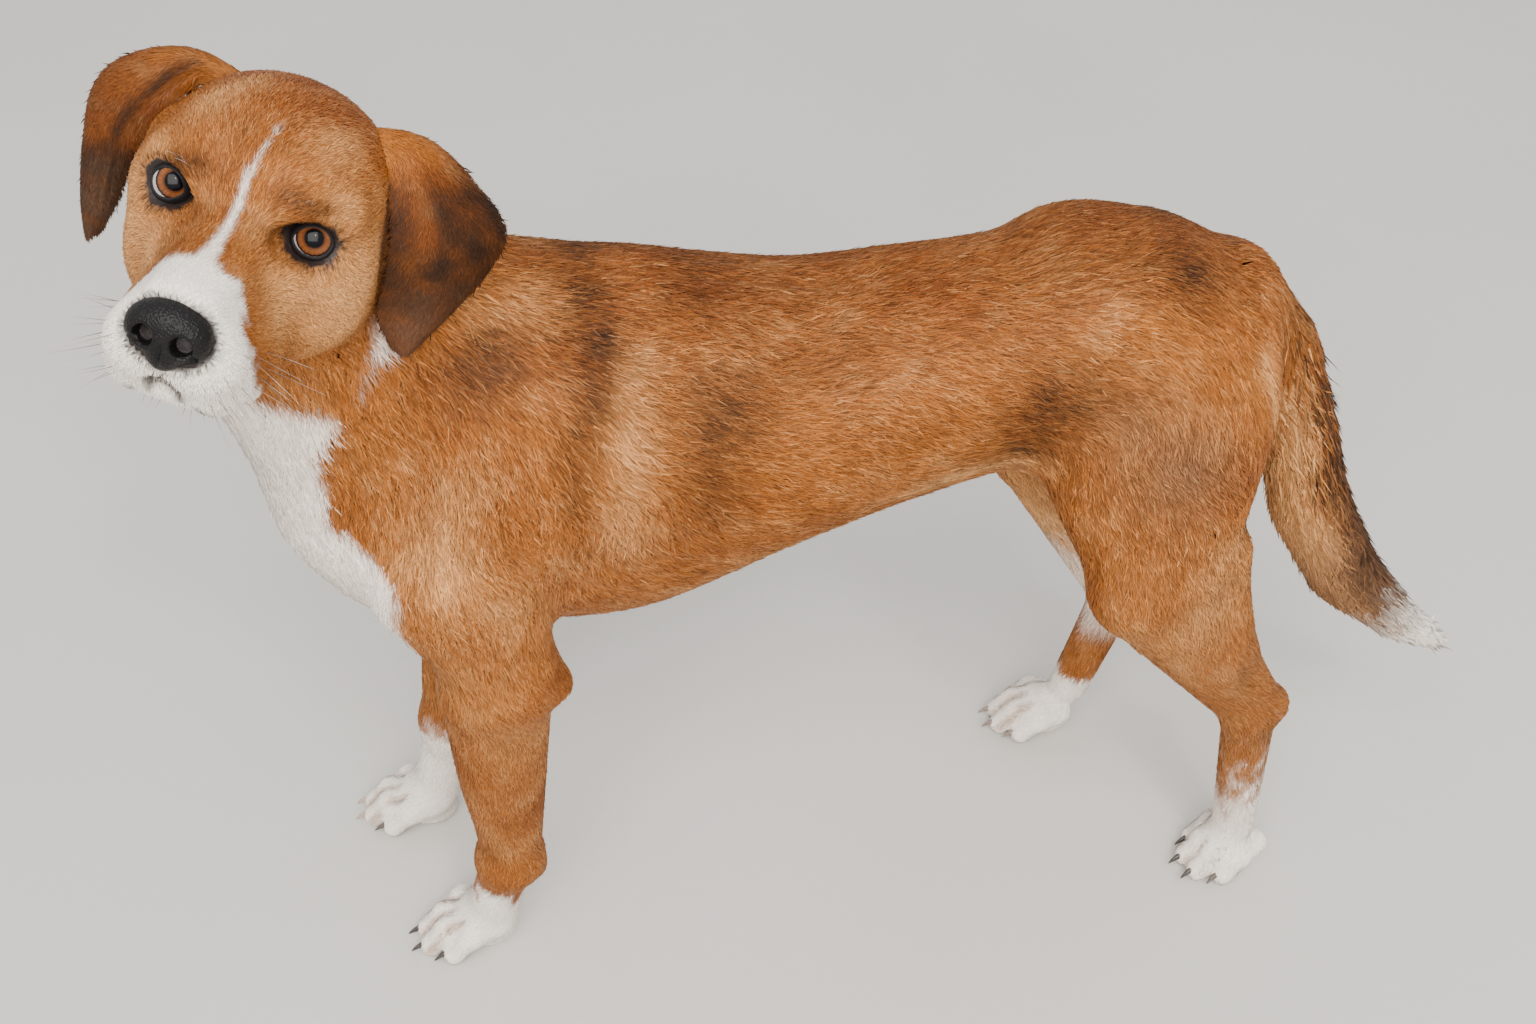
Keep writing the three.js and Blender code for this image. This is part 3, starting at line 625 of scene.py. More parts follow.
@dataclass(frozen=True)
class HindLeg(Leg):
    """A hind leg from the hip down, with its joints as (left, forward, up)."""

    hip: Triple
    knee: Triple
    stifle: Triple
    shank: Triple
    hock: Triple
    heel: Triple
    pastern: Triple
    paw: Paw

    def field(self) -> Blend:
        """Thigh, stifle, shank, tendon and point of the hock, pastern and paw."""
        t = TRUNK
        tendon = (self.shank[0], self.heel[1] + 42, 256)
        hamstring = (self.knee[0] - math.copysign(6.0, self.knee[0]), self.knee[1] - 44, self.knee[2] + 6)
        return Blend((
            (1, Limb(t, self.hip, self.knee, (38, 74), (31, 50))),
            (24, Ball(t, self.stifle, (24, 25, 29))),
            (28, Limb(t, self.shank, self.hock, (27, 37), (14, 19))),
            (22, Limb(t, hamstring, tendon, (20, 15), (9, 10))),
            (10, Limb(t, tendon, self.heel, (10, 10), (9, 10))),
            (8, Ball(t, self.heel, (12, 12, 14))),
            (12, Limb(t, self.hock, self.pastern, (16, 20), (15, 16))),
            (14, self.paw.field()),
        ))

    def line(self) -> Array:
        """The leg's joints in the dog's frame, from the paw up."""
        return TRUNK.out([(*self.paw.at, 0.0), self.pastern, self.hock, self.shank, self.knee, self.hip])


@dataclass(frozen=True)
class Tail:
    """A tail along a line of round places, each (left, forward, up) with its radius."""

    places: tuple[Triple, ...] = (
        (0, -442, 492), (0, -483, 448), (2, -509, 381), (4, -535, 305), (8, -577, 233), (12, -630, 180),
        (16, -688, 138),
    )
    radii: tuple[float, ...] = (29, 26, 27, 29, 27, 18, 5)

    def field(self) -> Blend:
        """One limb between each place and the next."""
        steps = zip(self.places, self.places[1:], self.radii, self.radii[1:])
        return Blend(tuple((3, Limb(TRUNK, a, b, (0.9 * r, r), (0.9 * q, q))) for a, b, r, q in steps))

    def brush(self) -> Limb:
        """The outline of the loose hair that runs on beyond the tail's end."""
        return Limb(TRUNK, self.places[-1], (16.8, -700.0, 129.5), (5.0, 5.0), (2.0, 2.0))

    def line(self) -> Array:
        """The tail's places in the dog's frame, from the root."""
        return TRUNK.out(self.places)

    def radius(self, along: Array) -> Array:
        """The tail's radius at shares of the way along it."""
        steps = np.linalg.norm(np.diff(self.line(), axis=0), axis=1)
        places = np.concatenate([[0.0], np.cumsum(steps)]) / steps.sum()
        return np.interp(along, places, self.radii)

    def reading(self, points: Array) -> tuple[Array, Array, Array]:
        """Where places lie on the tail.

        Args:
            points: Places in the dog's frame.

        Returns:
            The share of the way along the tail, the offset towards its back, and the tail's direction.
        """
        line = self.line()
        steps = np.diff(line, axis=0)
        lengths = np.linalg.norm(steps, axis=1)
        starts = np.concatenate([[0.0], np.cumsum(lengths)])
        best = np.full(len(points), np.inf)
        along = np.zeros(len(points))
        back = np.zeros(len(points))
        direction = np.zeros((len(points), 3))
        for a, step, length, start in zip(line, steps, lengths, starts):
            way = step / length
            t = np.clip((points - a) @ way, 0.0, length)
            offset = points - a - t[:, None] * way
            reach = np.linalg.norm(offset, axis=1)
            closer = reach < best
            best = np.where(closer, reach, best)
            along = np.where(closer, (start + t) / starts[-1], along)
            back = np.where(closer, offset @ np.array([0.0, -way[2], way[1]]), back)
            direction = np.where(closer[:, None], way, direction)
        return along, back, direction


def both(make: Callable[[float], tuple]) -> tuple:
    """What a function makes for the right side and for the left side, in one tuple."""
    return make(-1.0) + make(1.0)


@dataclass(frozen=True)
class Skull:
    """The head's shape in the head's own frame, whose origin lies midway between the pupils."""

    eye_places: tuple[tuple[float, float], ...] = ((34.0, -5.0), (-38.5, -1.8))
    eye_depth: float = -9.5
    eye_radius: float = 11.8
    lid_tilt: float = 6.0

    def eye_centre(self, s: float) -> Triple:
        """The centre of one eyeball, in the head's frame."""
        l, u = self.eye_places[0 if s > 0 else 1]
        return (l, self.eye_depth, u)

    def eye_view(self, s: float) -> Array:
        """The way out of one eye's opening, its outward way and its upward way, as rows in the head's frame."""
        ahead = unit(np.array([0.24 * s, 0.93, 0.22]))
        level = unit(np.cross(ahead, np.array([0.0, 0.0, s])))
        rise = s * np.cross(level, ahead)
        cos, sin = math.cos(math.radians(self.lid_tilt)), math.sin(math.radians(self.lid_tilt))
        return np.stack([ahead, level * cos + rise * sin, rise * cos - level * sin])

    def field(self) -> Pressed:
        """Braincase, forehead, cheeks, brows, muzzle, lips and jaw, with the eye sockets pressed in."""
        h = HEAD
        solid = Blend((
            (1, Ball(h, (0, -50, 8), (58, 56, 46))),
            (22, Ball(h, (0, -18, 8), (44, 32, 30))),
            *both(lambda s: (
                (20, Ball(h, (s * 33, -35, -36), (31, 43, 42))),
                (12, Limb(h, (s * 20, 1, 11), (s * 43, -15, 10), (10, 11), (9, 10))),
                (14, Limb(h, (s * 27, 6, -26), (s * 46, -24, -17), (10, 12), (12, 14))),
            )),
            (16, Limb(h, (0, -4, -32), (0, 62, -38), (33, 33), (27, 23))),
            (12, Limb(h, (0, 4, -7), (0, 72, -20), (17, 10), (15, 8))),
            *both(lambda s: (
                (10, Limb(h, (s * 14, 66, -49), (s * 20, 32, -58), (20, 19), (18, 24))),
                (10, Limb(h, (s * 20, 32, -58), (s * 27, -12, -54), (18, 24), (18, 26))),
                (8, Ball(h, (s * 19, 48, -64), (18, 26, 19))),
            )),
            (8, Limb(h, (0, 60, -69), (0, -34, -70), (17, 11), (34, 28))),
        ))
        sockets = tuple((6, Ball(h, (l, 9, u + 2), (16, 16, 11))) for l, u in self.eye_places)
        return Pressed(solid, sockets)

    def nose(self) -> Blend:
        """The nose leather's outline: a rounded pad, a lobe below it and a wing each side."""
        wings = both(lambda s: ((6, Ball(HEAD, (s * 11.5 - 0.5, 80, -34), (9, 9, 10))),))
        pad = (1, Ball(HEAD, (-0.5, 80, -30), (17.5, 11, 13)))
        return Blend((pad, (6, Ball(HEAD, (0, 82, -42), (9, 8, 10))), *wings))


@dataclass(frozen=True)
class Anatomy:
    """The whole dog's flesh: its parts as fields."""

    skull: Skull = Skull()
    tail: Tail = Tail()
    forelegs: tuple[Foreleg, Foreleg] = (
        Foreleg((80, 42, 296), (66, 48, 108), (54, 64, 36), Paw((50, 69), 6, 44)),
        Foreleg((-80, 48, 296), (-70, 80, 108), (-71, 99, 36), Paw((-71, 106), -3, 44)),
    )
    hind_legs: tuple[HindLeg, HindLeg] = (
        HindLeg((50, -378, 430), (82, -398, 334), (88, -374, 320), (86, -412, 292), (82, -486, 180),
                (82, -501, 186), (78, -502, 46), Paw((77, -503), 16, 32)),
        HindLeg((-50, -374, 430), (-80, -366, 336), (-86, -340, 324), (-84, -372, 296), (-77, -443, 148),
                (-77, -460, 156), (-79, -419, 46), Paw((-81, -402), -4, 38)),
    )

    @property
    def legs(self) -> dict[str, Foreleg | HindLeg]:
        """The four legs by the names of their parts, the forelegs first."""
        kinds = {"foreleg": self.forelegs, "hind_leg": self.hind_legs}
        return {f"{side}_{kind}": leg for kind, pair in kinds.items() for side, leg in zip(Side, pair)}

    def toe_grooves(self) -> tuple[tuple[float, Field], ...]:
        """The grooves between the toes of all paws."""
        return tuple(groove for leg in self.legs.values() for groove in leg.paw.grooves())

    def trunk(self) -> Blend:
        """Ribcage, loin and pelvis as one barrel, with chest, withers, shoulders and haunches."""
        t = TRUNK
        barrel = Barrel((
            (-30, 438, 88, 118), (45, 437, 91, 121), (116, 435, 91, 107), (167, 441, 88, 91),
            (225, 452, 82, 82), (290, 462, 76, 77), (340, 470, 76, 80), (396, 463, 76, 84), (438, 451, 64, 74),
        ), keel=0.14, cap=34)
        return Blend((
            (1, barrel),
            (40, Ball(t, (0, 72, 399), (70, 82, 88))),
            (30, Ball(t, (0, -30, 380), (70, 104, 76))),
            (26, Limb(t, (0, 22, 512), (0, -60, 520), (24, 32), (20, 24))),
            *both(lambda s: (
                (30, Limb(t, (s * 50, -15, 500), (s * 72, 60, 395), (26, 50), (30, 40))),
                (26, Limb(t, (s * 70, 64, 385), (s * 79, 34, 320), (34, 44), (30, 34))),
                (24, Ball(t, (s * 32, -342, 518), (24, 32, 21))),
                (20, Ball(t, (s * 46, -424, 425), (34, 34, 46))),
            )),
        ))

    def neck(self) -> Blend:
        """The neck with its crest and throat."""
        t = TRUNK
        return Blend((
            (1, Limb(t, (0, 62, 462), (8, 132, 596), (72, 98), (57, 62))),
            (26, Limb(t, (0, 0, 506), (-4, 100, 602), (38, 38), (38, 36))),
            (26, Limb(t, (0, 110, 420), (16, 140, 545), (44, 50), (44, 48))),
        ))

    def parts(self) -> dict[str, tuple[float, Field]]:
        """Each part of the flesh: the blend that joins it to those before it, and its field."""
        rooms = {  # how far inwards and outwards, then the low and the high corner in y and z
            "foreleg": ((10, 150), (-200, -30), (70, 390)), "hind_leg": ((-30, 160), (240, -30), (580, 560)),
        }
        legs = {}
        for name, leg in self.legs.items():
            aside, low, high = rooms[name.split("_", 1)[1]]
            near, far = sorted(math.copysign(1.0, leg.paw.at[0]) * x for x in aside)
            legs[name] = (30, Bounded(leg.field(), (near, *low), (far, *high)))
        return {
            "trunk": (1, Bounded(self.trunk(), (-170, -220, 230), (170, 560, 650))),
            "neck": (36, Bounded(self.neck(), (-150, -290, 300), (150, 130, 730))),
            "tail": (22, Bounded(self.tail.field(), (-90, 370, 80), (90, 740, 570))),
            **legs,
            "head": (20, Bounded(self.skull.field(), (-90, -290, 500), (220, 20, 770))),
        }

    def distances(self, points: Array) -> dict[str, Array]:
        """The distance to each part of the flesh."""
        return {name: part(points) for name, (_, part) in self.parts().items()}


ANATOMY = Anatomy()
SKULL = ANATOMY.skull
TAIL = ANATOMY.tail


@dataclass(frozen=True)
class Swell:
    """A soft rise, or a hollow where its height is negative, that fades as a bell curve."""

    at: Triple
    radii: Triple
    height: float
    axes: Axes = TRUNK

    def __call__(self, points: Array) -> Array:
        """How far the skin is raised at places."""
        return self.height * bell(self.axes.inside(points), self.at, self.radii)


# Muscles, tendons and creases that show through the coat. Each is named by its place.
SWELLS: tuple[Swell, ...] = (
    *both(lambda s: (
        Swell((s * 88, -78, 440), (30, 22, 52), -3.4),  # hollow behind the shoulder
        Swell((s * 84, 8, 432), (30, 34, 40), 2.4),  # point of the shoulder
        Swell((s * 66, 70, 470), (30, 16, 50), -3.2),  # groove between neck and shoulder
        Swell((s * 92, 6, 362), (20, 36, 22), 2.2),  # triceps
        Swell((s * 84, 1, 321), (26, 13, 13), -2.4),  # crease above the point of the elbow
        Swell((s * 90, -434, 388), (18, 15, 16), 3.0),  # back of the thigh
        Swell((s * 102, -443, 330), (24, 20, 38), -7.5),  # hollow over the hamstring's end
        Swell((s * 84, -18, 288), (22, 14, 22), 3.5),  # back of the forearm below the elbow
        Swell((s * 86, -38, 340), (24, 14, 18), -2.0),  # crease behind the elbow
        Swell((s * 74, -292, 440), (26, 36, 40), -3.6),  # flank
        Swell((s * 88, -336, 398), (26, 34, 34), 2.2),  # front of the thigh
        Swell((s * 90, -420, 372), (24, 12, 60), -2.6),  # groove down the back of the thigh
        Swell((s * 40, -388, 512), (18, 30, 14), -2.0),  # beside the croup
        Swell((s * 96, -462, 236), (16, 9, 34), -3.4),  # hollow before the tendon of the heel
        Swell((s * 20, -200, 520), (10, 130, 12), 1.6),  # muscle beside the spine
        Swell((s * 28, 24, 6), (13, 9, 5), 1.5, HEAD),  # pouch before the eye
        Swell((s * 25, 2, 30), (13, 12, 7), 2.1, HEAD),  # brow
        Swell((s * 44, -28, -52), (18, 26, 18), 2.2, HEAD),  # cheek
        Swell((s * 36, 20, -46), (10, 16, 9), -1.9, HEAD),  # behind the whisker pad
        Swell((s * 26, 58, -50), (9, 15, 10), 1.6, HEAD),  # whisker pad
    )),
    Swell((0, -150, 538), (6, 200, 12), -1.6),  # groove along the spine
    Swell((1, -14, 40), (5, 26, 18), -2.6, HEAD),  # furrow of the forehead
    Swell((0, 14, 10), (8, 12, 8), -1.4, HEAD),  # stop
    Swell((-60, -40, 15), (11, 12, 11), 4.5, HEAD),  # upper temple on the side that the head leans to
    Swell((-58, -34, -3), (16, 28, 17), 6.5, HEAD),  # lower temple there
    Swell((70, 66, 140), (22, 14, 46), -4.0),  # front of the left wrist
)


@dataclass(frozen=True)
class Mouth:
    """The line where the lips meet, from below the nose to the corner, in the head's frame."""

    line: tuple[Triple, ...] = (
        (0, 83, -62), (8, 79, -67), (15, 71, -73), (21, 60, -79), (27, 50, -80), (33, 42, -76), (37, 32, -72),
    )
    half_width: float = 2.1
    blend: float = 2.5

    def tools(self) -> tuple[tuple[float, Field], ...]:
        """The groove between the lips, as a chain of thin limbs each side, and the philtrum above it."""
        r = self.half_width

        def chain(s: float) -> tuple:
            """The groove on one side, a limb between each place and the next."""
            places = [tuple(np.array([s, 1.0, 1.0]) * place) for place in self.line]
            limbs = (Limb(HEAD, a, b, (r, r), (r, r)) for a, b in zip(places, places[1:]))
            return ((1, Blend(tuple((1, limb) for limb in limbs))),)

        philtrum = Limb(HEAD, (0, 92, -48), (0, 84, -62), (0.9, 0.9), (1.1, 1.1))
        groove = Blend(((1, Blend(both(chain))), (1, philtrum)))
        middle, room = HEAD.out((0, 60, -65)), 70
        return ((self.blend, Bounded(groove, tuple(middle - room), tuple(middle + room))),)

    def reach(self, local: Array) -> Array:
        """Distances from places in the head's frame to the lip line."""
        one_side = folded(local)
        fine = spline(np.array(self.line, float), np.linspace(0, 1, 40))
        best = np.full(len(local), np.inf)
        for place in fine:
            best = np.minimum(best, np.linalg.norm(one_side - place, axis=1))
        return best


MOUTH = Mouth()


class Hide:
    """The skin as a field: the flesh with its muscles, less the coat's depth, with its creases and lips."""

    SIDE_DEPTH = 2.2
    BACK_MORE = 0.8  # how much deeper the coat is on the back
    LEG_DEPTH = 1.4
    FOOT_DEPTH = 0.7
    TAIL_DEPTH = 7.0
    FACE_DEPTH = 1.1
    MUZZLE_DEPTH = 0.6
    LOWEST = 0.4  # the skin's height where it meets the floor

    def __init__(self) -> None:
        """Keeps the parts' fields, which are the same for every reading."""
        self.flesh = Blend(tuple(ANATOMY.parts().values()))
        self.creases = MOUTH.tools() + ANATOMY.toe_grooves()

    def depth(self, points: Array) -> Array:
        """The coat's depth: deepest on the tail and thin on the face and feet.

        Args:
            points: Places in the dog's frame.

        Returns:
            The depth at each place.
        """
        x, y, z = points.T
        local = HEAD.inside(points)
        depth = np.full(len(points), self.SIDE_DEPTH)
        depth += self.BACK_MORE * ramp(z, 390, 450) * ramp(z, 600, 560) * ramp(y, 20, -60)
        depth += (self.LEG_DEPTH - depth) * ramp(z, 330, 250)
        depth += (self.FOOT_DEPTH - depth) * ramp(z, 95, 60)
        tail = ramp(y, 455, 515) * ramp(np.abs(x), 62, 46)
        behind = tail > 0.0
        if behind.any():
            along = TAIL.reading(points[behind])[0]
            full = np.minimum(self.TAIL_DEPTH, 0.5 * TAIL.radius(along)) + 9.0 * ramp(along, 0.88, 0.97)
            depth[behind] += (full - depth[behind]) * tail[behind]
        face = ramp(np.linalg.norm(local - np.array([0, -20, -15]), axis=1), 112, 82)
        depth += (self.FACE_DEPTH - depth) * face
        depth += (self.MUZZLE_DEPTH - depth) * face * ramp(local[:, 1], 12, 46)
        return depth

    def outline(self, points: Array) -> Array:
        """Distances to the coat's tips: the flesh, raised or hollowed by its swells."""
        distance = self.flesh(points)
        for swell in SWELLS:
            distance = distance - swell(points)
        return distance

    def __call__(self, points: Array) -> Array:
        """Distances to the skin."""
        distance = self.outline(points) + self.depth(points)
        for blend, tool in self.creases:
            distance = -soft_min(-distance, tool(points), blend)
        return np.maximum(distance, self.LOWEST - points[:, 2])


HIDE = Hide()


# ---------------------------------------------------------------- meshes in the scene
def place_shift() -> Array:
    """The way from the dog's frame to the model's, found from where the left eyeball stands."""
    low, high = (np.array(corner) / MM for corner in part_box("left_eye"))
    return (low + high) / 2.0 - HEAD.out(SKULL.eye_centre(1.0))


SHIFT = place_shift()


def add_to_scene(name: str, data: bpy.types.ID) -> bpy.types.Object:
    """A new object in the scene that shows some data."""
    made = bpy.data.objects.new(name, data)
    bpy.context.scene.collection.objects.link(made)
    return made


def make_object(name: str, surface: Surface, material: bpy.types.Material,
                maps: dict[str, Array] | None = None) -> bpy.types.Object:
    """Puts a surface into the scene as a smooth mesh that rides on the dog.

    Args:
        name: The piece's name.
        surface: Its mesh in millimetres, and the values that become attributes.
        material: Its finish.
        maps: UV places of each vertex, by the map's name.

    Returns:
        The object, at the origin.
    """
    mesh = bpy.data.meshes.new(name)
    faces = surface.faces
    mesh.vertices.add(len(surface.vertices))
    mesh.vertices.foreach_set("co", ((surface.vertices + SHIFT) * MM).astype(np.float32).ravel())
    mesh.loops.add(faces.size)
    mesh.loops.foreach_set("vertex_index", faces.astype(np.int32).ravel())
    mesh.polygons.add(len(faces))
    mesh.polygons.foreach_set("loop_start", np.arange(0, faces.size, faces.shape[1], dtype=np.int32))
    mesh.update(calc_edges=True)
    for key, values in surface.values.items():
        kind, what = ("FLOAT_VECTOR", "vector") if values.ndim == 2 else ("FLOAT", "value")
        attribute = mesh.attributes.new(key, kind, "POINT")
        attribute.data.foreach_set(what, values.astype(np.float32).ravel())
    for key, places in (maps or {}).items():
        layer = mesh.uv_layers.new(name=key)
        layer.uv.foreach_set("vector", places[faces.ravel()].astype(np.float32).ravel())
    mesh.shade_smooth()
    if surface.shading is not None:
        mesh.normals_split_custom_set_from_vertices(surface.shading.tolist())
    mesh.materials.append(material)
    piece = add_to_scene(name, mesh)
    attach(piece, BODY)
    log.info("%s: %d faces", name, len(faces))
    return piece


def lattice(points: Array, closed: tuple[int, ...] = (1,)) -> Surface:
    """A surface on a lattice of points, with one quad between four neighbours.

    Args:
        points: Places of the shape rings, places round, 3.
        closed: The axes along which the last place joins the first.

    Returns:
        The surface in quads.
    """
    rings, around = points.shape[:2]
    number = np.arange(rings * around).reshape(rings, around)
    for axis in closed:
        number = np.concatenate([number, number.take([0], axis)], axis)
    quads = np.stack([number[:-1, :-1], number[:-1, 1:], number[1:, 1:], number[1:, :-1]], -1)
    return Surface(points.reshape(-1, 3), quads.reshape(-1, 4))


def joined(surfaces: Sequence[Surface]) -> Surface:
    """Several surfaces of the same kind of face and the same values, as one."""
    starts = np.cumsum([0] + [len(s.vertices) for s in surfaces])
    faces = np.concatenate([s.faces + start for s, start in zip(surfaces, starts)])
    keys = surfaces[0].values.keys()
    values = {key: np.concatenate([s.values[key] for s in surfaces]) for key in keys}
    return Surface(np.concatenate([s.vertices for s in surfaces]), faces, values)


def outward(surface: Surface) -> Surface:
    """The same closed surface with its faces turned outwards, found from the sign of its volume."""
    a, b, c, d = (surface.vertices[surface.faces[:, i]] for i in (0, 1, 2, 3))
    volume = dot(a, np.cross(b, c)).sum() + dot(a, np.cross(c, d)).sum()
    faces = surface.faces if volume > 0 else surface.faces[:, ::-1]
    return Surface(surface.vertices, faces, surface.values)


# ---------------------------------------------------------------- materials
Socket = bpy.types.NodeSocket


def paint(red: float, green: float, blue: float) -> tuple[float, float, float, float]:
    """A colour given in display values from 0 to 255, as the linear values that a shader takes."""
    values = (np.array((red, green, blue)) / 255.0 + 0.055) / 1.055
    return (*(float(v) for v in values**2.4), 1.0)


class Nodes:
    """Writes a node tree in short steps. Every input may be a socket or a constant."""

    def __init__(self, tree: bpy.types.NodeTree) -> None:
        """Starts on an empty tree."""
        self.tree = tree

    def add(self, kind: str, inputs: dict[str | int, object] | None = None,
            **settings: object) -> bpy.types.Node:
        """Adds a node.

        Args:
            kind: The node's type.
            inputs: What goes into its inputs, by name or number.
            **settings: The node's own settings.

        Returns:
            The node.
        """
        node = self.tree.nodes.new(kind)
        for key, value in settings.items():
            setattr(node, key, value)
        for key, value in (inputs or {}).items():
            self.feed(node.inputs[key], value)
        return node

    def feed(self, target: Socket, value: object) -> None:
        """Links a socket into an input, or sets the input to a constant."""
        if isinstance(value, Socket):
            self.tree.links.new(value, target)
        else:
            target.default_value = value

    def dress(self, shader: bpy.types.Node, **values: object) -> None:
        """Feeds a shader's inputs, named with underscores for the spaces of their names."""
        for key, value in values.items():
            self.feed(shader.inputs[key.replace("_", " ")], value)

    def calc(self, operation: str, *values: object, clamp: bool = False) -> Socket:
        """The result of a Math node."""
        settings = {"operation": operation, "use_clamp": clamp}
        return self.add("ShaderNodeMath", dict(enumerate(values)), **settings).outputs[0]

    def blend(self, share: object, a: object, b: object, way: str = "MIX") -> Socket:
        """A colour mixed from a towards b."""
        node = self.add("ShaderNodeMix", data_type="RGBA", blend_type=way)
        for index, value in ((0, share), (6, a), (7, b)):
            self.feed(node.inputs[index], value)
        return node.outputs[2]

    def mask(self, name: str) -> Socket:
        """The number stored at the vertices under a name."""
        return self.add("ShaderNodeAttribute", attribute_name=name).outputs["Fac"]

    def place(self) -> Socket:
        """The surface's own coordinates."""
        return self.add("ShaderNodeTexCoord").outputs["Object"]

    def noise(self, scale: float, detail: float = 3.0, vector: Socket | None = None) -> Socket:
        """Noise between 0 and 1; the scale counts its features in a metre."""
        inputs = {"Vector": vector or self.place(), "Scale": scale, "Detail": detail}
        return self.add("ShaderNodeTexNoise", inputs).outputs["Fac"]

    def spread(self, value: object, low: float, high: float, to_low: float = 0.0,
               to_high: float = 1.0) -> Socket:
        """A value stretched from one range to another and kept inside it."""
        inputs = {0: value, 1: low, 2: high, 3: to_low, 4: to_high}
        return self.add("ShaderNodeMapRange", inputs, interpolation_type="SMOOTHSTEP").outputs[0]

    def bump(self, height: Socket, strength: float, depth: float) -> Socket:
        """The normal of a surface raised by a height; depth is the rise of the value 1, in metres."""
        inputs = {"Height": height, "Strength": strength, "Distance": depth}
        return self.add("ShaderNodeBump", inputs).outputs[0]

    def ramp(self, value: Socket, stops: Sequence[tuple[float, tuple]]) -> Socket:
        """A colour read off a band of colours."""
        node = self.add("ShaderNodeValToRGB", {0: value})
        band = node.color_ramp.elements
        for place, colour in stops[1:-1]:
            band.new(place).color = colour
        band[0].position, band[0].color = stops[0]
        band[len(stops) - 1].position, band[len(stops) - 1].color = stops[-1]
        return node.outputs[0]


def new_material(name: str, **shader: object) -> tuple[bpy.types.Material, Nodes, bpy.types.Node]:
    """A material with a Principled shader.

    Args:
        name: The material's name.
        **shader: The shader's constants, with underscores for the spaces of their names.

    Returns:
        The material, its nodes and the shader.
    """
    material = bpy.data.materials.new(name)
    material.use_nodes = True
    nodes = Nodes(material.node_tree)
    principled = material.node_tree.nodes["Principled BSDF"]
    nodes.dress(principled, **shader)
    return material, nodes, principled


MARKINGS = ("red", "pale", "dark", "grey", "white", "rim")  # each lies over those before it


@dataclass(frozen=True)
class Fur:
    """The coat's finish, and that of the skin below it: tan hair with lighter tips, and the markings."""

    tan: tuple = paint(150, 87, 33)
    red: tuple = paint(113, 57, 19)
    pale: tuple = paint(208, 152, 96)
    dark: tuple = paint(46, 27, 15)
    grey: tuple = paint(104, 80, 62)
    white: tuple = paint(250, 240, 228)
    rim: tuple = paint(30, 24, 23)

    def colour_group(self) -> bpy.types.NodeTree:
        """The coat's colour from the markings at the vertices, the hair's own shade and its tip."""
        tree = bpy.data.node_groups.new("coat_colour", "ShaderNodeTree")
        tree.interface.new_socket("Colour", in_out="OUTPUT", socket_type="NodeSocketColor")
        tree.interface.new_socket("Cover", in_out="OUTPUT", socket_type="NodeSocketFloat")
        n = Nodes(tree)
        mottle = n.noise(60.0, 4.0)
        colour = n.blend(n.spread(mottle, 0.35, 0.75, 0.0, 0.3), self.tan, self.red)
        for name in MARKINGS[:-1]:
            colour = n.blend(n.mask(name), colour, getattr(self, name))
        shade = n.spread(n.mask("shade"), 0.0, 1.0, 0.58, 1.42)
        tip = n.spread(n.mask("along"), 0.0, 1.0, 0.80, 1.22)
        level = n.calc("MULTIPLY", shade, tip)
        calm = n.calc("MULTIPLY", n.mask("white"), 0.55)
        level = n.add("ShaderNodeMix", {0: calm, 2: level, 3: 1.0}).outputs[0]
        grain = n.spread(n.noise(900.0, 2.0), 0.3, 0.7, 0.9, 1.1)
        level = n.calc("MULTIPLY", level, grain)
        grey = n.add("ShaderNodeCombineColor", {0: level, 1: level, 2: level}).outputs[0]
        colour = n.blend(1.0, colour, grey, "MULTIPLY")
        colour = n.blend(n.mask("rim"), colour, self.rim)
        n.dress(n.add("NodeGroupOutput"), Colour=colour, Cover=n.calc("SUBTRACT", 1.0, n.mask("rim")))
        return tree

    def build(self) -> tuple[bpy.types.Material, bpy.types.Material]:
        """Makes the finishes.

        Returns:
            The skin's material and the coat's.
        """
        group = self.colour_group()
        skin, n, shader = new_material("dog_skin", Specular_IOR_Level=0.25)
        fur = n.add("ShaderNodeGroup", node_tree=group)
        fine, clumps = n.noise(1400.0, 2.0), n.noise(380.0, 3.0)
        height = n.calc("ADD", n.calc("MULTIPLY", fine, 0.5), clumps)
        # The skin's colour is painted 5% towards the dark one: painted shade of the skin under the coat.
        n.dress(shader, Base_Color=n.blend(0.05, fur.outputs["Colour"], self.dark),
                Roughness=n.spread(fur.outputs["Cover"], 0.0, 1.0, 0.42, 0.66),
                Normal=n.bump(height, 0.55, 0.0009))
        coat, n, shader = new_material("dog_coat", Specular_IOR_Level=0.12)
        fur = n.add("ShaderNodeGroup", node_tree=group)
        rough = n.spread(n.noise(150.0, 2.0), 0.3, 0.7, 0.5, 0.66)
        n.dress(shader, Base_Color=fur.outputs["Colour"], Roughness=rough)
        return skin, coat


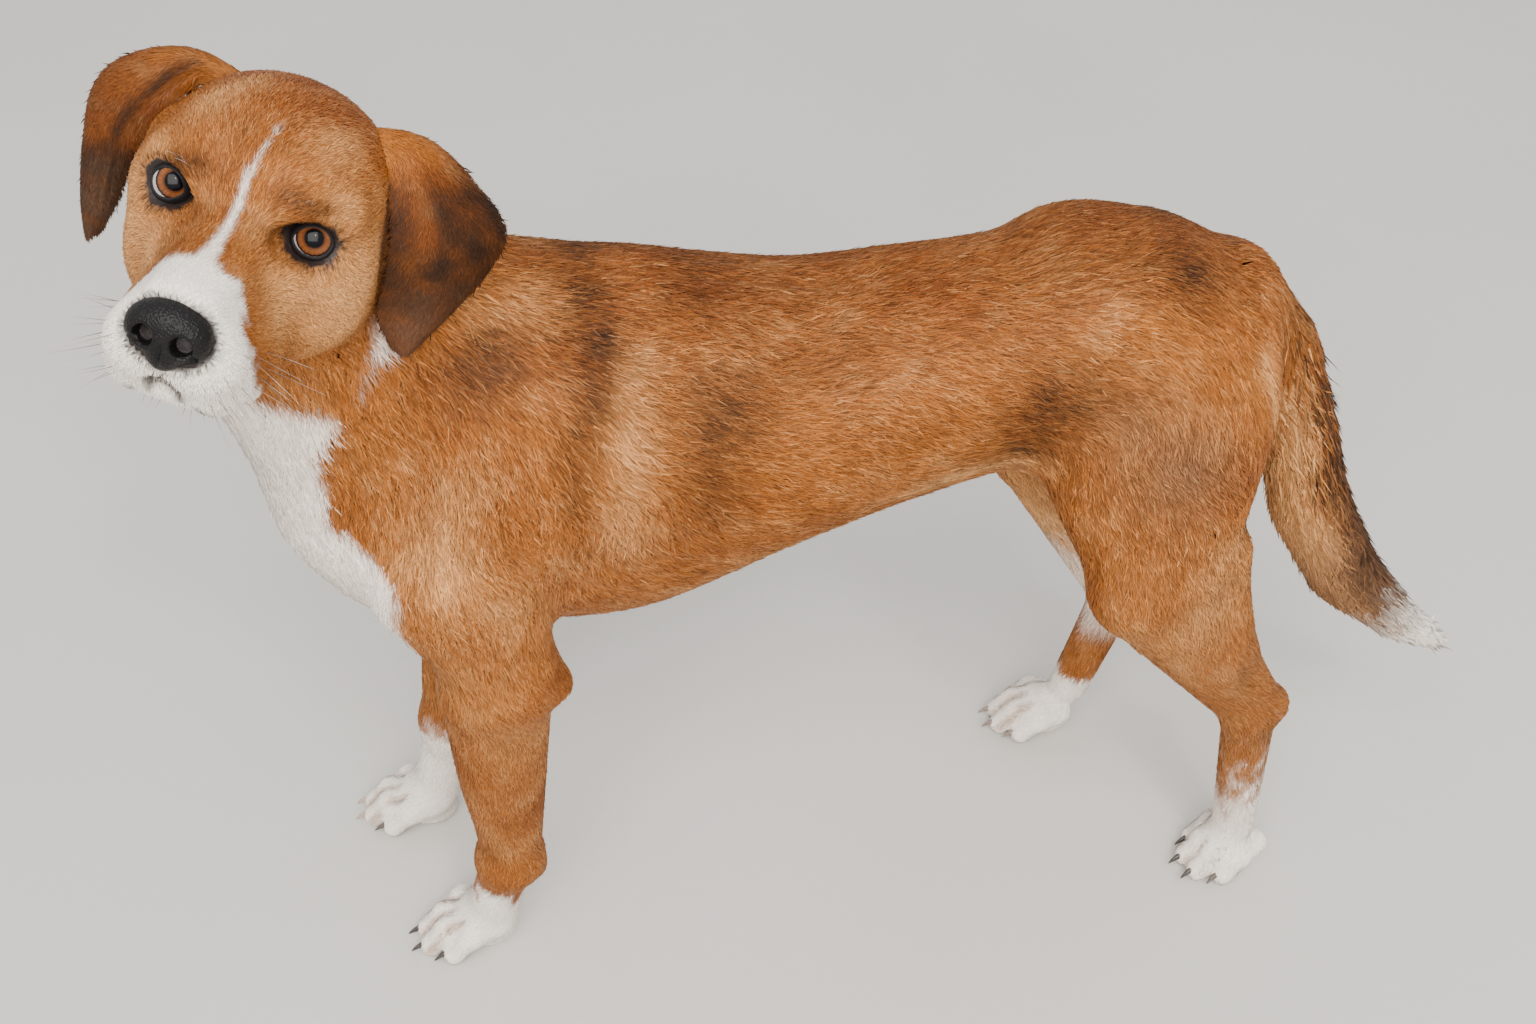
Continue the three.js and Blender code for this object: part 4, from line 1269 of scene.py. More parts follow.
@dataclass(frozen=True)
class EyeFinish:
    """A wet eye: a dark pupil, a brown iris with radial fibres, a dark ring round it and a white painted dim
    grey, as painted shade from the lids. Its edges are angles from the gaze in degrees.
    """

    pupil_edge: float = 22.5
    iris_edge: float = 47.9
    band_end: float = 90.0

    def build(self) -> bpy.types.Material:
        """The eye's material, which reads the angle from the gaze and the spoke round it."""
        material, n, shader = new_material("wet_eye", Roughness=0.25, Specular_IOR_Level=0.05, Coat_Weight=0.22,
                                           Coat_Roughness=0.015)
        angle = n.mask("polar")
        spoke = n.add("ShaderNodeAttribute", attribute_name="spoke").outputs["Vector"]
        drawn = n.add("ShaderNodeVectorMath", {0: spoke, 1: (1.4, 1.4, 0.012)}, operation="MULTIPLY").outputs[0]
        fibres = n.noise(6.0, 5.0, drawn)
        wobble = n.calc("ADD", angle, n.spread(fibres, 0.2, 0.8, -1.2, 1.2))
        share = n.calc("DIVIDE", wobble, self.band_end)
        black, brown = paint(5, 6, 9), paint(120, 72, 40)
        # The white is painted dim grey: painted shade from the lids.
        deep, ring, white = paint(82, 44, 22), paint(24, 16, 13), paint(168, 158, 158)
        p, i = self.pupil_edge / self.band_end, self.iris_edge / self.band_end
        bands = n.ramp(share, ((p - 0.012, black), (p + 0.02, deep), (p + 0.1, brown), (i - 0.09, brown),
                               (i - 0.02, ring), (i + 0.015, ring), (i + 0.05, white)))
        inside = n.calc("MULTIPLY", n.spread(angle, self.pupil_edge, self.pupil_edge + 4.0),
                        n.spread(angle, self.iris_edge, self.iris_edge - 6.0))
        streaks = n.calc("MULTIPLY", inside, n.spread(fibres, 0.35, 0.7, 0.0, 0.4))
        n.dress(shader, Base_Color=n.blend(streaks, bands, paint(52, 26, 14)))
        return material


@dataclass(frozen=True)
class Leather:
    """Bare dark skin, as on the nose and the rims of the lids. The pebbles' scale counts them in a metre, and
    their depth is in metres.
    """

    name: str
    colour: tuple
    worn: tuple
    pebble: float
    depth: float
    roughness: float

    def build(self) -> bpy.types.Material:
        """The material: small pebbles with painted shade in the grooves between them, and a moist gloss."""
        material, n, shader = new_material(self.name, Specular_IOR_Level=0.2)
        cells = n.add("ShaderNodeTexVoronoi", {"Vector": n.place(), "Scale": self.pebble},
                      feature="SMOOTH_F1").outputs["Distance"]
        pebbles = n.spread(cells, 0.0, 0.6, 1.0, 0.0)
        stain = n.spread(n.noise(120.0, 4.0), 0.35, 0.75, 0.0, 0.7)
        colour = n.blend(stain, self.colour, self.worn)
        # The colour darkens towards the pebbles' edges: painted shade in the grooves.
        n.dress(shader, Base_Color=n.blend(n.calc("MULTIPLY", cells, 0.5), colour, paint(8, 7, 7)),
                Roughness=n.spread(pebbles, 0.0, 1.0, self.roughness + 0.15, self.roughness),
                Normal=n.bump(pebbles, 0.6, self.depth))
        return material


@dataclass(frozen=True)
class Horn:
    """Claw horn: streaked along its length, and paler where its mask is up."""

    def build(self) -> bpy.types.Material:
        """The material of the claws."""
        material, n, shader = new_material("claw_horn_finish", Coat_Weight=0.2, Coat_Roughness=0.2)
        grain = n.noise(700.0, 4.0)
        streak = n.spread(grain, 0.3, 0.7)
        dark = n.blend(streak, paint(38, 33, 32), paint(74, 66, 62))
        light = n.blend(streak, paint(176, 150, 130), paint(206, 186, 168))
        n.dress(shader, Base_Color=n.blend(n.mask("light"), dark, light),
                Roughness=n.spread(grain, 0.3, 0.7, 0.3, 0.45), Normal=n.bump(grain, 0.3, 0.0003))
        return material


@dataclass(frozen=True)
class Bristle:
    """Whisker hair, dark at its root and pale at its tip."""

    def build(self) -> bpy.types.Material:
        """The material of the whiskers."""
        material, n, shader = new_material("whisker_hair", Roughness=0.4)
        tint = n.spread(n.noise(90.0, 2.0), 0.3, 0.7, -0.15, 0.15)
        along = n.calc("ADD", n.mask("along"), tint)
        stops = (0.0, paint(64, 52, 44)), (0.35, paint(120, 106, 94)), (1.0, paint(222, 214, 206))
        n.dress(shader, Base_Color=n.ramp(along, stops))
        return material


# ---------------------------------------------------------------- markings
@dataclass(frozen=True)
class Patch:
    """A soft spot of one marking in the coat, mirrored to both sides: its place is (outwards, forward, up)."""

    at: Triple
    radii: Triple
    strength: float
    axes: Axes = TRUNK

    def __call__(self, points: Array) -> Array:
        """How strong the marking is at places."""
        return self.strength * bell(folded(self.axes.inside(points)), self.at, self.radii)


DARK_PATCHES = (
    Patch((19, -21, 560), (26, 15, 18), 0.5), Patch((45, -30, 546), (20, 15, 20), 0.62),
    Patch((69, -27, 526), (20, 14, 24), 0.62), Patch((85, -18, 500), (20, 12, 26), 0.52),
    Patch((95, -12, 462), (20, 11, 30), 0.34),  # band behind the neck, down over the shoulder
    Patch((62, 34, 545), (26, 25, 22), 0.88), Patch((50, 66, 520), (22, 18, 26), 0.22),  # side of the neck
    Patch((20, -92, 546), (24, 30, 14), 0.3), Patch((90, -90, 472), (24, 22, 46), 0.55),
    Patch((75, -98, 502), (26, 32, 30), 0.66), Patch((59, -160, 512), (26, 34, 16), 0.22),
    Patch((82, -205, 478), (24, 44, 20), 0.28), Patch((0, -230, 540), (40, 140, 14), 0.16),  # ribs and back
    Patch((36, -390, 539), (32, 27, 24), 0.55), Patch((30, -330, 548), (30, 30, 12), 0.18),  # croup
    # The flank's large dark patch is partly darker coat and partly painted shade in the flank's hollow.
    Patch((76, -292, 470), (30, 30, 42), 0.68), Patch((74, -262, 440), (22, 34, 14), 0.3),
    Patch((70, -330, 500), (24, 26, 18), 0.25),  # flank
    Patch((88, -20, 330), (20, 20, 14), 0.2), Patch((84, -462, 236), (16, 16, 32), 0.65),  # elbow and hock
    Patch((84, -494, 176), (16, 18, 26), 0.55),
    Patch((22, 9, 18), (10, 12, 6), 0.72, HEAD), Patch((34, 5, 15), (13, 9, 4), 0.62, HEAD),  # brow
    Patch((14, 14, -3), (6, 12, 8), 0.5, HEAD), Patch((9, -6, 30), (4, 14, 14), 0.3, HEAD),
)
PALE_PATCHES = (
    Patch((63, -47, 529), (24, 15, 20), 0.5), Patch((84, -46, 500), (20, 13, 26), 0.45),
    Patch((94, -42, 456), (20, 14, 34), 0.45), Patch((92, -50, 410), (20, 18, 30), 0.3),  # behind the shoulder
    Patch((86, 62, 430), (26, 28, 42), 0.6), Patch((94, 40, 366), (24, 26, 34), 0.24),  # point of the shoulder
    Patch((40, -10, 560), (18, 12, 16), 0.3), Patch((30, 60, 606), (34, 34, 20), 0.25),
    Patch((28, 4, 564), (26, 20, 14), 0.4), Patch((88, 42, 486), (20, 22, 28), 0.4),  # nape and shoulder
    Patch((59, -435, 491), (6, 4, 13), 0.85), Patch((63, -443, 475), (6, 4, 13), 0.85),
    Patch((69, -448, 460), (7, 4, 13), 0.85), Patch((61, -460, 436), (7, 4, 18), 0.7),  # fringe by the tail
    Patch((92, -420, 330), (26, 34, 54), 0.4),  # thigh
    Patch((74, -212, 416), (22, 34, 10), 0.4), Patch((72, -246, 423), (20, 30, 10), 0.6),
    Patch((67, -282, 426), (16, 24, 11), 0.7),  # edge of the flank's fold
    Patch((60, -10, -30), (28, 34, 38), 0.8, HEAD), Patch((38, 22, -30), (18, 20, 20), 0.6, HEAD),  # cheek
    Patch((46, 0, 14), (10, 12, 8), 0.35, HEAD), Patch((28, -20, 38), (18, 20, 14), 0.45, HEAD),  # forehead
    Patch((12, 24, 2), (8, 20, 10), 0.42, HEAD), Patch((56, -14, -56), (20, 26, 18), 0.35, HEAD),
)
GREY_PATCHES = (
    Patch((90, -388, 432), (26, 34, 38), 0.55), Patch((84, -345, 468), (24, 28, 24), 0.4),  # thigh
)
RED_PATCHES = (
    Patch((10, -58, 44), (44, 30, 26), 0.75, HEAD), Patch((30, -44, 40), (20, 24, 20), 0.3, HEAD),  # crown
    Patch((0, -150, 545), (50, 120, 26), 0.3), Patch((78, -130, 430), (30, 70, 50), 0.25),
    Patch((32, -448, 508), (26, 24, 34), 0.45), Patch((70, 70, 480), (30, 18, 60), 0.4),  # neck's front edge
    Patch((90, 0, 300), (40, 40, 30), 0.15), Patch((20, 44, -20), (10, 14, 8), 0.35, HEAD),
)
BLAZE = ((4, -10, 42), (3, 2, 35), (2, 9, 27), (1, 14, 17), (0, 20, 5), (0, 35, -2), (0, 50, -6))
BLAZE_HALF_WIDTHS = (0.0, 0.4, 0.8, 1.1, 1.6, 2.4, 4.4)
DOWN_THE_FACE = np.array([0.0, 0.8, -0.6])
# The back edge of the white on throat and chest: heights, and how far forward it lies there.
THROAT_HEIGHTS, THROAT_EDGE = zip(
    (280.0, 116.0), (310.0, 108.0), (340.0, 97.0), (372.0, 90.0), (386.0, 91.0), (398.0, 88.0), (412.0, 92.0),
    (422.0, 100.0), (440.0, 124.0), (459.0, 126.0), (486.0, 129.0), (505.0, 122.0), (525.0, 109.0),
    (544.0, 97.0), (558.0, 84.0), (575.0, 70.0),
)


def most(patches: Sequence[Patch], points: Array) -> Array:
    """The strengths of several patches together: 1 less the product of what each leaves."""
    rest = np.ones(len(points))
    for patch in patches:
        rest *= 1.0 - patch(points)
    return 1.0 - rest


class Markings:
    """Where each colour of the coat lies, as formulas of the place on the dog."""

    def blaze(self, local: Array, fray: Array) -> Array:
        """The white line up the forehead, within a half-width that grows towards the muzzle."""
        line = np.array(BLAZE, float)
        down, places = local @ DOWN_THE_FACE, line @ DOWN_THE_FACE
        aside = np.abs(local[:, 0] - np.interp(down, places, line[:, 0]))
        aside -= np.interp(down, places, BLAZE_HALF_WIDTHS)
        ends = ramp(down, places[0] - 4.0, places[0] + 6.0) * ramp(local[:, 2], -30.0, -20.0)
        return 0.85 * ramp(aside + fray * 0.35, 1.2, -1.2) * ends

    def white_face(self, local: Array, fray: Array) -> Array:
        """White on the muzzle, under the jaw and in the blaze."""
        l, f, u = local.T
        edge = 53.0 - 3.0 * ramp(np.abs(l), 8, 26) + 9.0 * ramp(-l, 20, 34)
        edge -= 12.0 * ramp(u, -52, -76)
        edge += 7.5 * ramp(l, 12, 26) * ramp(u, -14, -36) * ramp(u, -76, -54)
        edge += 3.5 * np.exp(-(((l - 24.0) / 10.0) ** 2) - ((u + 36.0) / 14.0) ** 2)
        muzzle = ramp(f - edge + fray * 1.6, -3.0, 3.0)
        under = ramp(u + 94.0 + fray * 2.0, 4.0, -4.0) * ramp(f, -30, 10)
        return np.maximum(np.maximum(muzzle, under), self.blaze(local, fray))

    def white_chest(self, points: Array, local: Array, fray: Array, coarse: Array) -> Array:
        """White on the throat and chest, held below full white as painted shade on the chest."""
        x, y, z = points.T
        l, f, u = local.T
        edge = np.interp(z, THROAT_HEIGHTS, THROAT_EDGE)
        chest = ramp(-y - edge + fray * 2.0 + coarse * 1.5, -3.0, 4.0)
        # The chest's white stops at 0.83, so some tan shows through: painted shade on the chest.
        chest *= 0.83 * ramp(z, 285.0, 310.0) * ramp(z + 9.0 * coarse + 3.0 * fray, 584.0, 566.0)
        chest *= ramp(np.abs(x), 100.0, 88.0)
        return chest * (1.0 - ramp(f, -100.0, -75.0) * ramp(u, -124.0, -114.0) * ramp(l, 69.0, 61.0))

    def white_feet(self, points: Array, fray: Array, coarse: Array) -> Array:
        """White on the paws and pasterns, with half of it taken out in the grooves between the toes as painted
        shade.
        """
        x, y, z = points.T
        fore = ramp(z + coarse * 5.0 + fray * 3.0, 82.0, 66.0)
        fore = np.where(x < 0.0, ramp(z + coarse * 6.0 + fray * 4.0, 128.0, 108.0), fore)
        hind = ramp(z + coarse * 7.0 + fray * 4.0, 66.0, 50.0)
        hind = np.where(x < 0.0, ramp(z + coarse * 6.0 + fray * 3.0, 74.0, 60.0), hind)
        shank = ramp(z, 96.0, 70.0) * ramp(np.abs(x - 78.0), 11.0, 4.0) * ramp(y, 500.0, 488.0) * (x > 0)
        feet = 0.94 * np.where(y < 200.0, fore, np.maximum(hind, 0.85 * shank))
        # Painted shade in the grooves between the toes: the white is halved there.
        toes = 1.0 - 0.5 * ramp(TOE_GROOVES(points), 2.6, 0.4)
        return feet * (z < 200.0) * toes

    def white(self, points: Array, local: Array, on_head: Array) -> Array:
        """White hair: face, throat, chest, feet, the inside of the right thigh and the tail's tip."""
        x, y, z = points.T
        fray, coarse = waves(points, 9.0, 3), waves(points, 26.0, 4)
        along, _, _ = TAIL.reading(points)
        tip = 0.85 * ramp(along + fray * 0.03, 0.69, 0.83) * (y > 470.0)
        inside = 0.6 * ramp(x, -88.0, -70.0) * (x < -20.0) * ramp(y, 335.0, 360.0) * ramp(z, 105.0, 140.0)
        inside *= ramp(z + 10.0 * fray, 250.0, 195.0)
        chest = self.white_chest(points, local, fray, coarse)
        body = np.maximum.reduce([chest, self.white_feet(points, fray, coarse), tip, inside])
        return np.maximum(body, self.white_face(local, fray) * on_head)

    def masks(self, points: Array, normals: Array, on_head: Array) -> dict[str, Array]:
        """All markings at places on the skin.

        Args:
            points: The places.
            normals: The skin's directions there.
            on_head: How much each place belongs to the head.

        Returns:
            A strength from 0 to 1 for each marking.
        """
        x, y, z = points.T
        local = HEAD.inside(points)
        drift, small = waves(points, 70.0, 11), waves(points * np.array([1.0, 0.45, 0.7]), 15.0, 12)
        below = ramp(-normals[:, 2], 0.35, 0.95)
        pale = most(PALE_PATCHES, points)
        belly = below * ramp(y, 40, 130) * ramp(y, 470, 380) * ramp(z, 240, 300)
        inner = ramp(-normals[:, 0] * np.sign(x), 0.0, 0.5) * ramp(y, 290, 330) * ramp(y, 520, 470)
        pale = np.maximum.reduce([pale, 0.75 * belly, 0.8 * inner * ramp(z, 120, 180) * ramp(z, 340, 240)])
        # Where the skin faces up, the coat is painted darker and redder and less pale: painted shade on the top,
        # which the light from above lights most.
        topside = ramp(normals[:, 2], 0.5, 0.95) * (1.0 - 0.5 * on_head)
        legs = ramp(z, 400, 300) * ramp(z, 110, 180)
        pale = pale * (1.0 - 0.5 * topside) + 0.1 * np.maximum(small, 0.0) + 0.06 * drift + 0.13 * legs
        pale = np.clip(pale, 0.0, 1.0)
        red = np.clip(most(RED_PATCHES, points) + 0.2 * np.maximum(-drift, 0.0) + 0.45 * topside, 0.0, 1.0)
        dark = most(DARK_PATCHES, points) * (1.0 + 0.2 * small)
        dark = dark + 0.06 * np.maximum(-small, 0.0) + 0.16 * topside
        grey = most(GREY_PATCHES, points)
        along, back, _ = TAIL.reading(points)
        on_tail = ramp(y, 440, 500) * ramp(np.abs(x), 64, 48) * (z < 520.0)
        top = ramp(back + 3.0 * small, -6.0, 12.0)
        dark_tail = top * ramp(along, 0.04, 0.2) + 0.35 * ramp(along, 0.45, 0.65)
        dark = np.maximum(dark, on_tail * np.clip(dark_tail, 0.0, 0.82) * (1.0 - 0.12 * np.abs(small)))
        grey = np.maximum(grey, on_tail * 0.4 * ramp(along, 0.35, 0.6))
        pale = np.maximum(pale, on_tail * (1.0 - top) * 0.7)
        rim = self.rims(local) * on_head
        chin = ramp(MOUTH.reach(local), 9.0, 3.0) * on_head
        pepper = ramp(oval_reach(local, (0, 85, -58), (22, 14, 8)), 1.2, 0.7)
        chin = np.maximum(chin, pepper * on_head * np.clip(0.8 + 1.2 * waves(local, 3.0, 13), 0, 1.6))
        white = self.white(points, local, on_head)
        pale = pale * (1.0 - 0.5 * dark)
        dark = np.clip(np.maximum(dark, 0.4 * chin), 0.0, 1.0)
        return {"red": red, "pale": pale, "dark": dark, "grey": grey, "white": white, "rim": rim}

    def rims(self, local: Array) -> Array:
        """Bare black skin: round the eyes, widest at their inner corners, along the lips, and by the nose."""
        eyes = np.zeros(len(local))
        for s in SIGNS:
            ahead, across, lift = SKULL.eye_view(s) @ (local - np.array(SKULL.eye_centre(s))).T
            across, lift = across / np.where(across < 0.0, 16.4, 13.4), lift / np.where(lift > 0.0, 10.7, 12.7)
            reach = np.hypot(across, lift) + 0.05 * waves(local, 6.0, 51)
            eyes = np.maximum(eyes, ramp(reach, 1.08, 0.94) * ramp(ahead, -8.0, 0.0))
        aside = np.abs(local[:, 0])
        wide = 2.7 + 5.2 * ramp(aside, 13.0, 6.0) + 0.9 * ramp(aside, 25.0, 31.0)
        lips = ramp(MOUTH.reach(local) - wide, 1.0, -1.0)
        nose = ramp(oval_reach(local, (0, 80, -34), (22, 14, 17)), 1.12, 0.96)
        return np.maximum.reduce([eyes, lips, nose])


TOE_GROOVES = Blend(ANATOMY.toe_grooves())
MARKS = Markings()


# ---------------------------------------------------------------- lie of the hair
@dataclass(frozen=True)
class Stream:
    """The way that hair lies near a place; both are (outwards, forward, up) and hold for both sides."""

    at: Triple
    way: Triple
    reach: float = 60.0


STREAMS = (
    Stream((0, 110, 640), (0.0, -0.9, -0.45)), Stream((50, 100, 600), (0.25, -0.5, -0.85)),
    Stream((62, 60, 540), (0.15, -0.5, -0.85), 45), Stream((0, 30, 570), (0.0, -1.0, -0.25)),
    Stream((66, 95, 500), (0.1, 0.0, -1.0), 45), Stream((80, 80, 440), (0.1, 0.12, -1.0), 45),
    Stream((20, 150, 520), (0.05, -0.2, -1.0)), Stream((30, 140, 430), (0.25, -0.15, -1.0)),
    Stream((70, 70, 450), (0.1, -0.15, -1.0)), Stream((95, 10, 440), (0.05, -0.3, -1.0)),
    Stream((90, 20, 350), (0.0, -0.25, -1.0)), Stream((70, -30, 520), (0.2, -0.75, -0.65)),
    Stream((95, -45, 450), (0.0, -0.42, -0.9), 42), Stream((92, -112, 440), (0.0, -0.85, -0.55), 45),
    Stream((90, -70, 370), (0.0, -0.6, -0.8), 45),
    Stream((0, -60, 560), (0.0, -1.0, -0.08), 50), Stream((0, -200, 545), (0.0, -1.0, 0.0), 70),
    Stream((60, -150, 515), (0.1, -1.0, -0.3)), Stream((90, -150, 450), (0.0, -1.0, -0.42)),
    Stream((70, -170, 370), (-0.1, -1.0, -0.3)), Stream((0, 20, 300), (0.0, -1.0, -0.1)),
    Stream((0, -180, 350), (0.0, -1.0, 0.05)), Stream((75, -250, 470), (0.0, -1.0, -0.25)),
    Stream((0, -330, 550), (0.0, -1.0, -0.05)), Stream((60, -330, 520), (0.15, -1.0, -0.4)),
    Stream((70, -310, 430), (0.0, -0.75, -0.6)), Stream((90, -350, 380), (0.05, -0.35, -1.0)),
    Stream((90, -400, 430), (0.05, -0.6, -0.85)), Stream((50, -430, 500), (0.2, -0.8, -0.75)),
    Stream((0, -450, 530), (0.0, -0.85, -0.6), 40), Stream((45, -460, 420), (0.0, -0.25, -1.0)),
    Stream((0, -300, 390), (0.0, -1.0, 0.0)), Stream((90, -420, 330), (0.0, -0.35, -1.0)),
)


class Lie:
    """Which way hair grows, and how long, wide and dense it is, at places on the skin."""

    # length, width and tufts in a square millimetre for each part
    SIZES: dict[str, Triple] = {
        "trunk": (15.0, 0.74, 0.42), "neck": (16.0, 0.8, 0.46), "tail": (31.0, 1.35, 0.55),
        "foreleg": (9.0, 0.7, 0.43), "hind_leg": (10.0, 0.7, 0.43), "head": (6.4, 0.52, 1.04),
    }
    PARTS_FADE = 9.0  # millimetres over which one part's hair changes into the next one's
    SWIRL = 0.14  # how far the hair strays from its stream

    def __init__(self, points: Array, normals: Array) -> None:
        """Works the lie of the hair out.

        Args:
            points: Places on the skin.
            normals: The skin's directions there.
        """
        distances = ANATOMY.distances(points)
        stack = np.stack(list(distances.values()))
        shares = np.exp(-(stack - stack.min(0)) / self.PARTS_FADE)
        shares /= shares.sum(0)
        self.parts = list(distances)
        self.label = stack.argmin(0)
        self.share = dict(zip(self.parts, shares))
        self.points, self.normals = points, normals
        self.on_head = self.share["head"]
        body = self.body_way()
        ways = {"trunk": body, "neck": body, "tail": TAIL.reading(points)[2], "head": self.head_way()}
        size = np.zeros((len(points), 3))
        way = np.zeros((len(points), 3))
        for name in self.parts:
            kind = name.split("_", 1)[1] if "leg" in name else name
            one = ways[name] if name in ways else self.leg_way(name)
            way += self.share[name][:, None] * one
            size += self.share[name][:, None] * np.array(self.SIZES[kind])
        swirl = np.stack([waves(points, 60.0, seed) for seed in (21, 22, 23)], -1)
        way = unit(way) + self.SWIRL * swirl
        self.way = unit(way - normals * dot(way, normals)[:, None])
        self.length, self.width, self.density = self.fitted(size)
        z = points[:, 2]
        self.play = np.clip(1.0 - 0.45 * ramp(z, 400, 300) - 0.2 * self.on_head, 0.3, 1.0)

    def body_way(self) -> Array:
        """The streams' ways, each weighed by how near its place is."""
        one_side = folded(TRUNK.inside(self.points))
        backwards = 1e-6 * np.array([0, -1, 0])
        total = np.zeros_like(self.points)
        for stream in STREAMS:
            total += bell(one_side, stream.at, stream.reach)[:, None] * np.array(stream.way) + backwards
        total[:, 0] *= np.sign(self.points[:, 0])
        return unit(TRUNK.turn(total))

    def leg_way(self, name: str) -> Array:
        """Down each leg and a little backwards, then forwards over the paw's toes."""
        leg = ANATOMY.legs[name]
        z, drop = self.points[:, 2], 12.0
        down = unit(np.column_stack([leg.middle(z - drop) - leg.middle(z), np.full(len(z), -drop)]))
        down = unit(down + np.array([0.0, 0.16, 0.0]) * ramp(z, 90, 140)[:, None])
        local = leg.paw.axes.inside(self.points)
        slope = -0.5 - ramp(local[:, 1], 20, 44)
        ahead = leg.paw.axes.turn(np.column_stack([local[:, 0] / 50.0, np.full(len(z), 1.0), slope]))
        share = ramp(z, 58, 36)[:, None] * ramp(local[:, 1], -16, 2)[:, None]
        return unit(down * (1.0 - share) + unit(ahead) * share)

    def head_way(self) -> Array:
        """Away from the nose, swept down over the cheeks and out over the forehead."""
        local = HEAD.inside(self.points)
        l, f, u = local.T
        away = unit(local - np.array([0.0, 96.0, -30.0]))
        cheek = ramp(u, 6, -30) * ramp(f, 40, 0)
        out = np.sign(l) * ramp(np.abs(l), 4, 24) * ramp(u, -10, 20)
        away += np.stack([0.5 * out, np.zeros_like(l), -0.55 * cheek], -1)
        lips = ramp(f, 30, 60) * ramp(u, -30, -60)
        away += np.stack([np.zeros_like(l), -0.2 * lips, -0.7 * lips], -1)
        eye = local - np.where(l[:, None] > 0.0, SKULL.eye_centre(1.0), SKULL.eye_centre(-1.0))
        near = 0.92 * ramp(np.linalg.norm(eye, axis=1), 25.0, 17.0)[:, None]
        return unit(HEAD.turn(unit(away) * (1.0 - near) + near * unit(eye)))

    def fitted(self, size: Array) -> tuple[Array, Array, Array]:
        """The hair's size with its changes inside a part: finer round the eyes and on muzzle and paws, longer
        at the seat, and shorter at both ends of the tail.

        Args:
            size: Lengths, widths and densities blended from the parts.

        Returns:
            Lengths, widths and densities.
        """
        _, y, z = self.points.T
        local = HEAD.inside(self.points)
        muzzle = self.on_head * ramp(local[:, 1], 14, 50)
        offset = folded(local) - np.array([35.5, -2.0, 1.0])
        lids = self.on_head * np.exp(-dot(offset, offset) / 19.0**2)
        seat = ramp(y, 400, 440) * ramp(z, 360, 420) * ramp(z, 540, 500)
        # where the hair changes, and by which share its length, width and density do
        changes = (
            (np.maximum(muzzle, lids), (-0.5, -0.28, 0.75)),
            (ramp(z, 80, 55), (-0.35, -0.15, 0.4)),
            (seat, (0.35, 0.0, 0.0)),
            (self.share["tail"] * ramp(y, 480, 440), (-0.45, 0.0, 0.0)),
            (self.share["tail"] * ramp(y, 600, 660), (-0.3, 0.0, 1.2)),
        )
        for where, change in changes:
            size = size * (1.0 + where[:, None] * np.array(change))
        return tuple(size.T)


# ---------------------------------------------------------------- skin
def cylinder_chart(points: Array, start: Array, end: Array, outward_way: Array) -> Array:
    """Places unrolled round an axis: across by the turn from a direction, up by the share of the way along.

    Args:
        points: The places.
        start: One end of the axis.
        end: Its other end.
        outward_way: The direction that lands in the middle of the chart.

    Returns:
        UV places from 0 to 1.
    """
    axis = unit(end - start)
    ahead = unit(outward_way - axis * (outward_way @ axis))
    offset = points - start
    turn = np.arctan2(offset @ np.cross(axis, ahead), offset @ ahead)
    along = (offset @ axis) / np.linalg.norm(end - start)
    return np.stack([0.5 + turn / (2.0 * math.pi), along], -1)


def polar_chart(points: Array, centre: Array, axis: Array, up: Array) -> Array:
    """Places seen outwards from a centre, laid flat round an axis: the angle to it is the distance from the
    chart's middle.
    """
    widest, half = 0.6 * math.pi, 0.47
    ways = unit(points - centre)
    side = np.cross(axis, up)
    angle = np.arccos(np.clip(ways @ axis, -1.0, 1.0))
    turn = np.arctan2(ways @ up, ways @ side)
    return 0.5 + half * np.clip(angle / widest, 0, 1)[:, None] * np.stack([np.cos(turn), np.sin(turn)], -1)


def within(places: Array, low: tuple[float, float], high: tuple[float, float]) -> Array:
    """UV places from 0 to 1 moved into a part of the chart."""
    return np.array(low) + np.clip(places, 0.0, 1.0) * (np.array(high) - np.array(low))


def plain_hair(count: int) -> dict[str, Array]:
    """The middle shade, and the middle of the way along a hair, for the skin that hair grows on."""
    return {"shade": np.full(count, 0.5), "along": np.full(count, 0.45)}


@dataclass
class Skin:
    """The one skin under the coat, from the nose to the tail's tip."""

    step: float = 4.6
    face_step: float = 2.3
    paw_step: float = 3.1
    surface: Surface | None = None
    lie: Lie | None = None

    def grid(self) -> list[Array]:
        """The grid of the net, finer at the face and the paws."""
        face, paw = self.face_step, self.paw_step
        return [
            graded(-160.0, 200.0, self.step, [(20.0, 175.0, face + 0.7), (-110, 20, 4.0)]),
            graded(-262.0, 715.0, self.step, [(-205.0, -65.0, face)]),
            graded(-4.0, 735.0, self.step, [(580.0, 715.0, face), (-4.0, 55.0, paw)]),
        ]

    def build(self) -> None:
        """Meshes the skin's field and stores the markings and the lie of the hair at its vertices."""
        self.surface = largest_shell(surface_net(HIDE, self.grid()))
        normals = self.surface.normals()
        self.lie = Lie(self.surface.vertices, normals)
        masks = MARKS.masks(self.surface.vertices, normals, self.lie.on_head)
        self.surface.values = {**masks, **plain_hair(len(self.surface.vertices))}
        log.info("skin: %d vertices", len(self.surface.vertices))

    def dress(self, material: bpy.types.Material) -> None:
        """Puts the skin into the scene in place of the flesh's solids."""
        piece = make_object("skin", self.surface, material)
        flesh = ["head", "neck", "trunk", "tail_root", "tail_tip"]
        lengths = ("foreleg", "forepaw", "thigh", "hind_pastern", "hind_paw")
        flesh += [f"{side}_{length}" for side in Side for length in lengths]
        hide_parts(*flesh)


